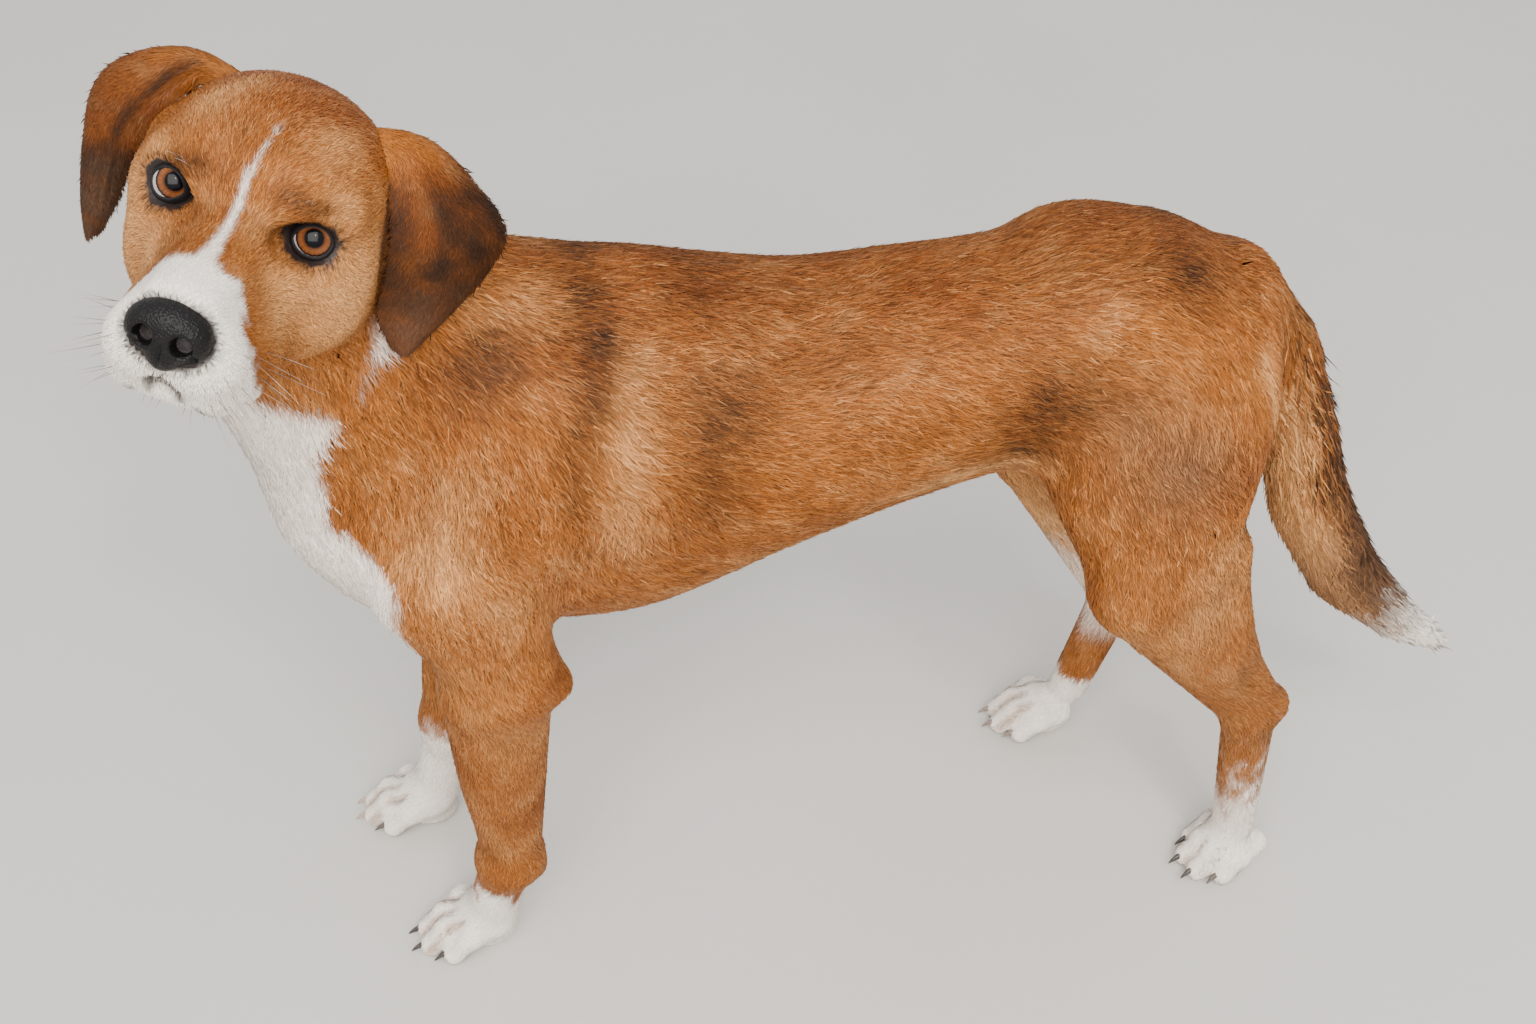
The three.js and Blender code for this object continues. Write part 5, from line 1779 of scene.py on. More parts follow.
def largest_shell(surface: Surface) -> Surface:
    """The largest connected part of a mesh; labels spread along the faces until they settle."""
    label = np.arange(len(surface.vertices))
    while True:
        lowest = label[surface.faces].min(1)
        before = label.copy()
        np.minimum.at(label, surface.faces.ravel(), np.repeat(lowest, surface.faces.shape[1]))
        label = label[label]
        if (label == before).all():
            break
    kept = label == np.bincount(label).argmax()
    order = np.cumsum(kept) - 1
    faces = surface.faces[kept[surface.faces[:, 0]]]
    return Surface(surface.vertices[kept], order[faces], {k: v[kept] for k, v in surface.values.items()})


# ---------------------------------------------------------------- coat
@dataclass
class Roots:
    """Where tufts grow: their places, the skin's directions and the lie of the hair there."""

    points: Array
    normals: Array
    ways: Array
    lengths: Array
    widths: Array
    plays: Array
    labels: Array
    values: dict[str, Array]

    def only(self, kept: Array) -> "Roots":
        """Those roots that a mask keeps."""
        arrays = {key: value[kept] for key, value in vars(self).items() if key != "values"}
        return Roots(**arrays, values={key: value[kept] for key, value in self.values.items()})


@dataclass(frozen=True)
class Tufts:
    """Closed slivers of hair: from its root a tuft widens to a ridge of two points and narrows to its tip,
    bent along the body; two faces lie above and two below.
    """

    ring: float = 0.40  # the share of the way at which the ridge lies
    lean: float = 9.0  # degrees by which tufts stray to a side
    bend: float = 6.0  # degrees by which their tips do
    lengths: tuple[float, float] = (0.72, 1.22)
    widths: tuple[float, float] = (0.7, 1.25)
    ridge_below: tuple[float, float] = (0.22, 0.55)  # shares of the depth that ridges and tips stay below
    tip_below: tuple[float, float] = (0.0, 0.34)
    stray_share: float = 0.06
    patch: float = 0.003  # a tuft's size in its UV map
    flat_depth: float = 0.8
    roundness: float = 0.4
    lowest: float = 0.3

    def grow(self, roots: Roots, rng: np.random.Generator, chart: Array, heights: Field | None) -> Surface:
        """Makes one tuft on each root.

        Args:
            roots: The roots.
            rng: The random numbers.
            chart: The roots' UV places.
            heights: The field of the coat's outline, or None where the hair lies within a millimetre or two.

        Returns:
            The tufts in triangles, with their values; "chart" holds the UV places.
        """
        count = len(roots.points)
        n, way = roots.normals, roots.ways
        side = np.cross(n, way)
        lean = np.radians(rng.normal(0.0, self.lean, count))[:, None]
        way = way * np.cos(lean) + side * np.sin(lean)
        side = np.cross(n, way)
        length = (roots.lengths * rng.uniform(*self.lengths, count))[:, None]
        width = (roots.widths * rng.uniform(*self.widths, count))[:, None]
        depth = HIDE.depth(roots.points) if heights else np.full(count, self.flat_depth)
        bend = np.radians(rng.normal(0.0, self.bend, count))[:, None]
        middle = roots.points + way * length * self.ring
        tip = roots.points + way * length * np.cos(bend) + side * length * np.sin(bend)
        stray = rng.random(count) < self.stray_share
        low, high = rng.uniform(*self.ridge_below, count), rng.uniform(*self.tip_below, count)
        if heights:
            raise_mid = -depth * low - heights(middle)
            raise_tip = -depth * high - heights(tip) + np.where(stray, 0.3 * depth + 0.5, 0.0)
        else:
            raise_mid, raise_tip = depth * (1.0 - low), depth * (1.0 - high)
        limit = 1.6 * depth + 0.3 * length[:, 0]
        middle = middle + n * np.clip(raise_mid, -limit, limit)[:, None]
        tip = tip + n * np.clip(raise_tip, -limit, limit)[:, None]
        start = roots.points - n * np.minimum(0.5, 0.3 * depth)[:, None]
        sag = dot(middle - start - self.ring * (tip - start), n)
        start = start - n * (np.maximum(0.2 * width[:, 0] - sag, 0.0) / (1.0 - self.ring))[:, None]
        left, right = middle - side * width / 2.0, middle + side * width / 2.0
        points = np.stack([start, left, right, tip], 1)
        points[:, :, 2] = np.maximum(points[:, :, 2], self.lowest)
        first = np.arange(count)[:, None] * 4
        shape = np.array([[0, 1, 2], [1, 3, 2], [0, 3, 1], [0, 2, 3]])
        faces = (first[:, :, None] + shape[None]).reshape(-1, 3)
        play = roots.plays[:, None]
        along = 0.5 + play * (np.array([[0.0, 0.45, 0.45, 1.0]]) - 0.5)
        shade = np.clip(0.5 + rng.normal(0.0, 0.22, count)[:, None] * play, 0.0, 1.0) + np.zeros((1, 4))
        values = {key: np.repeat(value, 4) for key, value in roots.values.items()}
        values["along"], values["shade"] = along.ravel(), shade.ravel()
        offsets = np.array([[0.0, -0.5], [-0.4, 0.0], [0.4, 0.0], [0.0, 0.5]]) * self.patch
        values["chart"] = (chart[:, None] + offsets).reshape(-1, 2)
        shading = np.stack([n, n - self.roundness * side, n + self.roundness * side, n + 0.2 * way], 1)
        return Surface(points.reshape(-1, 3), faces, values, unit(shading.reshape(-1, 3)))


def plant(name: str, tufts: Surface, material: bpy.types.Material) -> None:
    """Puts tufts into the scene with the UV map that they carry."""
    chart = tufts.values.pop("chart")
    make_object(name, tufts, material, {"OFBake": chart})


@dataclass
class Coat:
    """All the hair on the skin, in pieces that are each a part of the body."""

    skin: Skin
    tufts: Tufts = Tufts()
    seed: int = 7
    most_tufts: int = 46_500
    trunk_split: float = 170.0
    mask_noise: tuple[tuple[str, float], ...] = (("dark", 0.14), ("pale", 0.14), ("red", 0.25))

    def scatter(self, rng: np.random.Generator) -> Roots:
        """Spreads roots over the skin: evenly spaced shares of the summed area times density pick the faces,
        and each root lies at a random place of its face.
        """
        surface, lie = self.skin.surface, self.skin.lie
        faces = surface.faces
        corners = surface.vertices[faces]
        across = np.cross(corners[:, 2] - corners[:, 0], corners[:, 3] - corners[:, 1])
        area = 0.5 * np.linalg.norm(across, axis=1)
        weight = area * (lie.density * (1.0 - self.bare(surface, lie)))[faces].mean(1)
        total = np.cumsum(weight)
        count = int(total[-1])
        picks = np.searchsorted(total, (np.arange(count) + rng.random(count)) * (total[-1] / count))
        picks = np.minimum(picks, len(faces) - 1)
        a, b = rng.random((2, count, 1))
        shares = np.concatenate([(1 - a) * (1 - b), a * (1 - b), a * b, (1 - a) * b], 1)

        def at(values: Array) -> Array:
            """Values of the skin's vertices, read at the roots."""
            return np.einsum("ij,ij...->i...", shares, values[faces[picks]])

        masks = {key: at(surface.values[key]) for key in MARKINGS}
        free = at(lie.play) * (1.0 - masks["rim"])
        on_tail = at(lie.share["tail"])
        for key, most_change in self.mask_noise:
            change = most_change * (1.0 + 1.2 * on_tail) * free * rng.normal(0.0, 1.0, count)
            masks[key] = np.clip(masks[key] + change, 0.0, 1.0)
        places, normals = at(surface.vertices), unit(at(lie.normals))
        along, _, ahead = TAIL.reading(places)
        end = lie.share["tail"][faces[picks, 0]] * ramp(along, 0.76, 0.87)
        normals = unit(normals - (0.9 * end * dot(normals, ahead))[:, None] * ahead)
        ways = at(lie.way) * (1.0 - end)[:, None] + ahead * end[:, None]
        ways = unit(ways - normals * dot(ways, normals)[:, None])
        labels = lie.label[faces[picks, 0]]
        return Roots(places, normals, ways, at(lie.length), at(lie.width), at(lie.play), labels, masks)

    def bare(self, surface: Surface, lie: Lie) -> Array:
        """Where no hair grows: soles, the rims of eyes and lips, and the bed of the nose."""
        sole = ramp(surface.vertices[:, 2], 5.0, 2.0) * ramp(-lie.normals[:, 2], 0.3, 0.6)
        eye = np.zeros(len(surface.vertices))
        for s in SIGNS:
            reach = np.linalg.norm(surface.vertices - HEAD.out(SKULL.eye_centre(s)), axis=1)
            eye = np.maximum(eye, ramp(reach, 14.6, 13.6))
        nose = ramp(SKULL.nose()(surface.vertices), 0.6, 0.0) * lie.on_head
        return np.maximum.reduce([sole, eye, nose, ramp(surface.values["rim"], 0.55, 0.85)])

    def pieces(self, roots: Roots) -> dict[str, tuple[Array, Array]]:
        """Shares the roots out.

        Args:
            roots: All roots.

        Returns:
            For each piece the mask of its roots and their UV places.
        """
        x, y, z = roots.points.T
        names = np.array(self.skin.lie.parts)[roots.labels]
        local = HEAD.inside(roots.points)
        result: dict[str, tuple[Array, Array]] = {}
        head_middle = HEAD.out((0.0, -10.0, -24.0))
        for side in Side:
            s = side.value
            kept = (names == "head") & (s * local[:, 0] > 0.0)
            chart = polar_chart(roots.points, head_middle, HEAD.turn((s, 0, 0)), HEAD.rows[2])
            result[f"{side}_face_coat"] = (kept, chart)
            barrel = cylinder_chart(roots.points, np.array([0, -170.0, 440]), np.array([0, 500.0, 450]),
                                    np.array([s, 0, 0]))
            barrel[:, 0] = (barrel[:, 0] - 0.5) * 1.9 + 0.5
            ends = ("fore", y < self.trunk_split, 0.0), ("rear", y >= self.trunk_split, 1.0)
            for end, inside, start in ends:
                half = barrel * np.array([1.0, 2.0]) - np.array([0.0, start])
                result[f"{side}_{end}_trunk_coat"] = ((names == "trunk") & (s * x > 0.0) & inside, half)
        neck = cylinder_chart(roots.points, np.array([6.0, -150, 640]), np.array([0.0, 0, 400]),
                              np.array([1.0, 0, 0]))
        result["neck_coat"] = (names == "neck", neck)
        along, _, _ = TAIL.reading(roots.points)
        turn = cylinder_chart(roots.points, TAIL.line()[0], TAIL.line()[-1], np.array([1.0, 0, 0]))[:, 0]
        result["tail_coat"] = (names == "tail", np.stack([turn, along], -1))
        for kind in ("foreleg", "hind_leg"):
            kept = np.zeros(len(x), bool)
            chart = np.zeros((len(x), 2))
            for index, side in enumerate(Side):
                mine = names == f"{side}_{kind}"
                middle = ANATOMY.legs[f"{side}_{kind}"].middle(z)
                turn = 0.5 + np.arctan2(y - middle[:, 1], x - middle[:, 0]) / (2 * math.pi)
                one = within(np.stack([turn, z / 480.0], -1), (0.51 * index, 0.01), (0.49 + 0.51 * index, 0.99))
                chart[mine] = one[mine]
                kept |= mine
            result[f"{kind}s_coat"] = (kept, chart)
        return result

    def build(self, material: bpy.types.Material) -> None:
        """Grows the hair and puts its pieces into the scene."""
        rng = np.random.default_rng(self.seed)
        roots = self.scatter(rng)
        outline = Blend(((1, HIDE.outline), (1, TAIL.brush())))
        for name, (kept, chart) in self.pieces(roots).items():
            if kept.sum() > self.most_tufts:
                spare = np.flatnonzero(kept)
                kept = kept.copy()
                kept[rng.choice(spare, len(spare) - self.most_tufts, replace=False)] = False
            mine = roots.only(kept)
            places = within(chart[kept], (0.01, 0.01), (0.99, 0.99))
            tufts = self.tufts.grow(mine, rng, places, lambda p: evaluate(outline, p))
            log.info("%s: %d tufts", name, kept.sum())
            plant(name, tufts, material)


# ---------------------------------------------------------------- ears
@dataclass
class Ear:
    """A drop ear: a sheet ruled between its front and back edges, cupped and folded, with its own hair."""

    side: Side
    seed: int
    front: tuple[Triple, ...]
    back: tuple[Triple, ...]
    thickness: float = 3.0
    fold: float = 0.0
    camber: float = 7.5
    rows: int = 64
    columns: int = 34
    tufts: int = 12_500

    def sheet(self, s: Array, t: Array, face: Array) -> Array:
        """The flap's surface: the point at the share t between both edges at the share s of the way down,
        raised by a bulge and by half the thickness on its face's side; the thickness shrinks to the edges
        and the tip, and slow waves bend the lower edge.

        Args:
            s: Shares of the way from root to tip.
            t: Shares of the way from the front edge to the back edge.
            face: 1 on the outer face and -1 on the inner one.

        Returns:
            Places in the dog's frame.
        """
        front, back = (HEAD.out(np.array(edge, float)) for edge in (self.front, self.back))
        a, b = spline(front, s), spline(back, s)
        along = spline(front, np.minimum(s + 0.02, 1)) + spline(back, np.minimum(s + 0.02, 1))
        along -= spline(front, np.maximum(s - 0.02, 0)) + spline(back, np.maximum(s - 0.02, 0))
        out = unit(np.cross(b - a, along))
        out *= np.sign(out @ HEAD.rows[1])[:, None]
        fold = np.exp(-(((t - 0.09) / 0.09) ** 2)) - np.exp(-(((t - 0.3) / 0.1) ** 2))
        bulge = self.camber * 4.0 * t * (1.0 - t) + self.fold * fold * ramp(s, 0.03, 0.2) * ramp(s, 0.95, 0.7)
        bulge = bulge + 1.2 * np.sin(7.0 * s + 2.0 * t) * ramp(s, 0.5, 0.9)
        edge = np.clip(1.0 - (2.0 * t - 1.0) ** 6, 0.0, 1.0) ** 0.5 * np.clip(1.0 - s**14, 0.0, 1.0) ** 0.5
        rise = bulge + face * self.thickness / 2.0 * edge * (1.0 + 0.5 * ramp(s, 0.35, 0.0))
        return a + (b - a) * t[:, None] + out * rise[:, None]

    def rim(self, count: int) -> tuple[Array, Array]:
        """The shares t and the faces of one closed ring round the flap."""
        t = np.concatenate([np.linspace(0, 1, count), np.linspace(1, 0, count)[1:-1]])
        t = 0.5 - 0.5 * np.cos(math.pi * t)
        face = np.concatenate([np.ones(count), -np.ones(count - 2)])
        face[[0, count - 1]] = 0.0
        return t, face

    def colours(self, s: Array, t: Array, face: Array, points: Array) -> dict[str, Array]:
        """The markings on the flap: orange at the root and down the front, dark below and behind, with painted
        shade down the left flap's front edge and in the right flap's fold.

        Args:
            s: Shares of the way down.
            t: Shares of the way back.
            face: Which face.
            points: The places.

        Returns:
            The strength of each marking.
        """
        small, drift = waves(points, 14.0, 31), waves(points, 34.0, 32)
        lower = ramp(s + 0.03 * drift, 0.6, 0.84)
        if self.side is Side.LEFT:
            streak = np.exp(-(((t - 0.24 - 0.03 * drift) / 0.09) ** 2)) * ramp(s, 0.64, 0.44)
            dark = 0.88 * ramp(s + 0.03 * drift, 0.14, 0.38) * (1.0 - 0.6 * streak) * (1.0 - 0.1 * lower)
            # Painted shadow down the front edge of the flap, where it lies close to the face.
            dark = np.maximum(dark, 0.75 * ramp(t, 0.12, 0.04) * ramp(s, 0.12, 0.25))
        else:
            # Painted shade in the valley of the flap's fold.
            fold_shade = np.exp(-(((t - 0.3 - 0.02 * drift) / 0.13) ** 2)) * ramp(s, 0.05, 0.2)
            dark = np.maximum(0.9 * fold_shade, 0.97 * ramp(s + 0.03 * drift, 0.42, 0.72))
            dark = np.maximum(dark, 0.25 + 0.2 * ramp(s, 0.2, 0.4))
        pale = 0.4 * ramp(t, 0.94, 1.0) * ramp(s, 0.35, 0.5) + 0.08 * np.maximum(small, 0.0) * (1.0 - lower)
        inner = ramp(-face, 0.0, 1.0)
        zero = np.zeros(len(s))
        return {
            "red": np.clip(0.75 * ramp(s, 0.1, 0.3) + 0.1 * drift, 0, 1),
            "pale": np.clip(pale + 0.2 * inner, 0, 1),
            "dark": np.clip(dark * (1.0 + 0.08 * small) * (1.0 - 0.45 * inner), 0, 1),
            "grey": np.clip(0.22 * lower * (1.0 + 0.15 * small), 0, 1),
            "white": zero, "rim": zero,
        }

    def build(self, skin: bpy.types.Material, coat: bpy.types.Material) -> None:
        """Puts the flap and its hair into the scene."""
        t, face = self.rim(self.columns)
        s = np.linspace(0.0, 1.0, self.rows) ** 0.92
        grid_s, grid_t = np.repeat(s, len(t)), np.tile(t, self.rows)
        grid_face = np.tile(face, self.rows)
        points = self.sheet(grid_s, grid_t, grid_face)
        flap = lattice(points.reshape(self.rows, len(t), 3))
        flap = with_caps(outward(flap), self.rows, len(t))
        values = {**self.colours(grid_s, grid_t, grid_face, points), **plain_hair(len(points))}
        for key, value in values.items():
            ends = value[:len(t)].mean(keepdims=True), value[-len(t):].mean(keepdims=True)
            flap.values[key] = np.concatenate([value, *ends])
        piece = make_object(f"{self.side}_ear_skin", flap, skin)
        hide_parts(f"{self.side}_ear")
        self.hair(coat)

    def hair(self, coat: bpy.types.Material) -> None:
        """Plants hair on both faces; it runs down the flap and fans out to its edges."""
        rng = np.random.default_rng(self.seed)
        count = self.tufts
        s = rng.random(count) ** 0.9 * 0.985
        t = rng.random(count)
        face = np.where(rng.random(count) < 0.64, 1.0, -1.0)
        step = 0.004
        here = self.sheet(s, t, face)
        lower, upper = np.minimum(s + step, 1.0), np.maximum(s - step, 0.0)
        rear, front = np.minimum(t + step, 1.0), np.maximum(t - step, 0.0)
        down = unit(self.sheet(lower, t, face) - self.sheet(upper, t, face))
        across = unit(self.sheet(s, rear, face) - self.sheet(s, front, face))
        normal = unit(np.cross(down, across))
        normal *= np.sign(dot(normal, here - self.sheet(s, t, np.zeros(count))))[:, None]
        way = unit(down + across * ((t - 0.42) * 1.1)[:, None])
        way = unit(way - normal * dot(way, normal)[:, None])
        roots = Roots(
            points=here, normals=normal, ways=way, lengths=7.0 - 2.0 * s, widths=np.full(count, 0.55),
            plays=np.full(count, 0.6), labels=np.zeros(count, int), values=self.colours(s, t, face, here),
        )
        chart = np.stack([0.03 + 0.44 * t + 0.5 * (face < 0), 0.03 + 0.94 * s], -1)  # each face has one half
        plant(f"{self.side}_ear_coat", Tufts(lean=8.0).grow(roots, rng, chart, None), coat)


def with_caps(surface: Surface, rings: int, around: int) -> Surface:
    """Closes both ends of a lattice with fans of quads about the middle of each end ring.

    Args:
        surface: The open lattice.
        rings: How many rings it has.
        around: How many points a ring has, an even number.

    Returns:
        The closed surface.
    """
    points = surface.vertices
    last = (rings - 1) * around
    middles = np.stack([points[:around].mean(0), points[last:].mean(0)])
    first_edge = surface.faces[0]
    forwards = np.flatnonzero(first_edge == 0)[0]
    follows = first_edge[(forwards + 1) % 4] == 1
    pairs = np.arange(0, around, 2)
    a, b, c = pairs, (pairs + 1) % around, (pairs + 2) % around
    centre = np.full_like(a, len(points))
    low = np.stack([a, centre, c, b], -1)
    high = np.stack([last + a, last + b, last + c, centre + 1], -1)
    if not follows:
        low, high = low[:, ::-1], high[:, ::-1]
    return Surface(np.concatenate([points, middles]), np.concatenate([surface.faces, low, high]))


EARS = (
    Ear(Side.LEFT, 41, ((37, -60, 27), (51, -51, 26), (59, -45, 12), (65, -42, -7), (67, -43, -31),
                        (69, -46, -52), (78, -50, -68)),
        ((39, -77, 31), (67, -78, 37), (95, -83, 21), (114, -84, 3), (112, -78, -20), (99, -68, -48),
         (88, -55, -68))),
    Ear(Side.RIGHT, 42, ((-33, -60, 31), (-47, -51, 34), (-57, -42, 21), (-65, -39, 4), (-71, -40, -14),
                         (-75, -43, -35), (-82, -48, -60)),
        ((-36, -74, 33), (-68, -64, 42), (-92, -60, 29), (-102, -57, 10), (-101, -54, -16), (-95, -51, -45),
         (-87, -49, -64)), fold=3.2),
)


# ---------------------------------------------------------------- eyes
@dataclass
class Eye:
    """An eyeball with a bulging cornea, and the black lids that open round it."""

    side: Side
    gaze: Triple
    inner: float
    outer: float
    up: float = 7.4
    down: float = 8.2
    bulge: float = 0.9
    inset: float = 0.25  # how much less the ball's radius is than that of its socket
    rings: int = 72
    around: int = 96
    lid_around: int = 160

    @property
    def centre(self) -> Array:
        """The eyeball's centre in the dog's frame."""
        return HEAD.out(SKULL.eye_centre(self.side.value))

    def ball(self) -> Surface:
        """A globe in rings round the gaze; inside the iris's edge it is raised by a bell curve."""
        gaze = unit(HEAD.turn(self.gaze))
        side = unit(np.cross(HEAD.rows[2], gaze))
        polar = math.pi * (np.linspace(0, 1, self.rings + 2)[1:-1]) ** 1.15
        turn = np.linspace(0.0, 2.0 * math.pi, self.around, endpoint=False)
        p, a = (m.ravel() for m in np.meshgrid(polar, turn, indexing="ij"))
        plain = SKULL.eye_radius - self.inset
        radius = plain + self.bulge * np.exp(-((p / math.radians(38.0)) ** 4))
        spokes = np.stack([np.cos(a), np.sin(a), p / math.pi], -1)
        ways = np.outer(np.cos(p), gaze) + np.outer(np.sin(p) * np.cos(a), side)
        ways += np.outer(np.sin(p) * np.sin(a), np.cross(gaze, side))
        globe = outward(lattice((self.centre + ways * radius[:, None]).reshape(self.rings, self.around, 3)))
        closed = with_caps(globe, self.rings, self.around)
        degrees = np.concatenate([np.degrees(p), [0.0, 180.0]])
        closed.values = {"polar": degrees, "spoke": np.concatenate([spokes, [[0, 0, 0], [0, 0, 1]]])}
        closed.vertices[-2] = self.centre + gaze * (plain + self.bulge)
        closed.vertices[-1] = self.centre - gaze * plain
        return closed

    def lids(self) -> Surface:
        """The lids' band: an almond on the globe, rolled over a moist edge and spread out to the skin. It has a
        half-width to each corner, and its sides follow the sine to the power 1.3.
        """
        axis, level, rise = SKULL.eye_view(self.side.value)
        turn = np.linspace(0.0, 2.0 * math.pi, self.lid_around, endpoint=False)
        cos, sin = np.cos(turn), np.sin(turn)
        across = np.where(cos > 0, self.outer, self.inner) * cos
        over = np.where(sin > 0, self.up, self.down) * np.sign(sin) * np.abs(sin) ** 1.3
        reach = np.hypot(across, over)
        radius = SKULL.eye_radius
        # spread past the almond's edge, and height above the globe, of each ring
        profile = ((-0.2, -1.2), (-0.1, 0.1), (0.2, 0.5), (0.7, 0.72), (1.4, 0.74), (2.4, 0.55), (3.6, 0.3),
                   (5.0, 0.0), (6.6, -0.4), (8.4, -1.0))
        rings = []
        for number, (past, height) in enumerate(profile):
            angle = (reach + past) / radius
            ways = (np.cos(angle)[:, None] * axis + (np.sin(angle) * across / reach)[:, None] * level
                    + (np.sin(angle) * over / reach)[:, None] * rise)
            points = self.centre + HEAD.turn(ways) * (radius + height)
            share = ramp(np.array([number]), 3, 7)[0]
            if share > 0:
                sunk = settle(lambda q: HIDE(q) + 0.9, points, 6.0, 3)
                points = points + share * (sunk - points)
            rings.append(points)
        inner = np.stack(rings)
        back = self.centre + (inner[-1] - self.centre) * 0.8
        under = self.centre + (inner[0] - self.centre) * 0.93
        return outward(lattice(np.concatenate([inner, back[None], under[None]]), closed=(0, 1)))

    def build(self, globe: bpy.types.Material, rim: bpy.types.Material) -> None:
        """Puts the eyeball and its lids into the scene."""
        piece = make_object(f"{self.side}_eyeball", self.ball(), globe)
        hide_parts(f"{self.side}_eye")
        make_object(f"{self.side}_eyelids", self.lids(), rim)


EYES = (
    Eye(Side.LEFT, (0.185, 0.892, 0.407), inner=12.4, outer=9.3),
    Eye(Side.RIGHT, (0.255, 0.88, 0.405), inner=11.2, outer=6.8),
)


# ---------------------------------------------------------------- nose, claws and whiskers
@dataclass
class Nose:
    """The nose leather with two nostrils, the slits that curl out of them, and the philtrum."""

    step: float = 0.75
    room: float = 31.0

    def field(self) -> Pressed:
        """The leather's outline with its openings pressed in."""
        openings = both(lambda s: (
            (2.2, Ball(HEAD, (s * 9.2 - 0.5, 91, -34.5), (5.0, 14.0, 5.6))),
            (1.8, Limb(HEAD, (s * 11 - 0.5, 90, -38), (s * 18.5 - 0.5, 82, -40), (2.0, 2.0), (1.3, 1.3))),
        ))
        groove = ((1.6, Limb(HEAD, (-0.5, 91.5, -36), (-0.5, 89.0, -53), (0.7, 1.4), (1.1, 2.0))),)
        return Pressed(SKULL.nose(), (*openings, *groove))

    def build(self, material: bpy.types.Material) -> None:
        """Puts the nose into the scene."""
        axes = [np.arange(m - self.room, m + self.room, self.step) for m in HEAD.out((0, 80, -34))]
        pad = largest_shell(surface_net(self.field(), axes))
        piece = make_object("nose_leather", pad, material)
        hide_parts("nose")


@dataclass
class Claws:
    """The four claws of one paw: curved tapering horns that leave the toes and droop to the floor."""

    name: str
    paw: Paw
    light: tuple[float, float, float, float]
    length: float = 10.0
    radius: float = 3.1
    droop: float = 4.6
    sunk: float = 4.0  # how deep the root sits in the toe
    lowest: float = 0.9
    rings: int = 16
    around: int = 14

    def horn(self, across: float, light: float) -> Surface:
        """One claw: circles along a line that bends down with the square of the way, flatter below, whose
        radius falls to a blunt tip.
        """
        l, f, u = self.paw.toe(across)[2]
        t = np.linspace(0.0, 1.0, self.rings)[:, None]
        a = np.linspace(0.0, 2.0 * math.pi, self.around, endpoint=False)[None]
        radius = self.radius * np.sqrt(np.clip(1.0 - t**2.2, 0.012, 1.0)) * (1.0 - 0.35 * t)
        x = l + across * 1.2 * t + radius * 0.72 * np.cos(a)
        y = f + self.paw.toe_radius - self.sunk + self.length * t
        z = u + 1.2 - self.droop * t**2 + radius * np.where(np.sin(a) > 0, 1.0, 0.8) * np.sin(a)
        places = np.stack(np.broadcast_arrays(x, y, np.maximum(z, self.lowest)), -1)
        points = self.paw.axes.out(places.reshape(-1, 3))
        shell = outward(lattice(points.reshape(self.rings, self.around, 3)))
        closed = with_caps(shell, self.rings, self.around)
        closed.values = {"light": np.full(len(closed.vertices), light)}
        return closed

    def build(self, material: bpy.types.Material) -> None:
        """Puts the paw's claws into the scene as one piece."""
        horns = joined([self.horn(across, light) for across, light in zip(self.paw.across, self.light)])
        piece = make_object(self.name, horns, material)
        nodes = [f"{self.name[:-1]}_{i}" for i in range(1, 5)]
        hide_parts(*nodes)


PAW_CLAWS = (
    Claws("left_foreclaws", ANATOMY.forelegs[0].paw, (0.0, 0.0, 0.0, 0.0)),
    Claws("right_foreclaws", ANATOMY.forelegs[1].paw, (0.15, 0.8, 0.7, 0.1)),
    Claws("left_hind_claws", ANATOMY.hind_legs[0].paw, (0.0, 0.0, 0.0, 0.1)),
    Claws("right_hind_claws", ANATOMY.hind_legs[1].paw, (0.5, 0.4, 0.3, 0.4)),
)


Hair = tuple[Array, Array, Array, float, float]  # place, way, curl, length and half-thickness


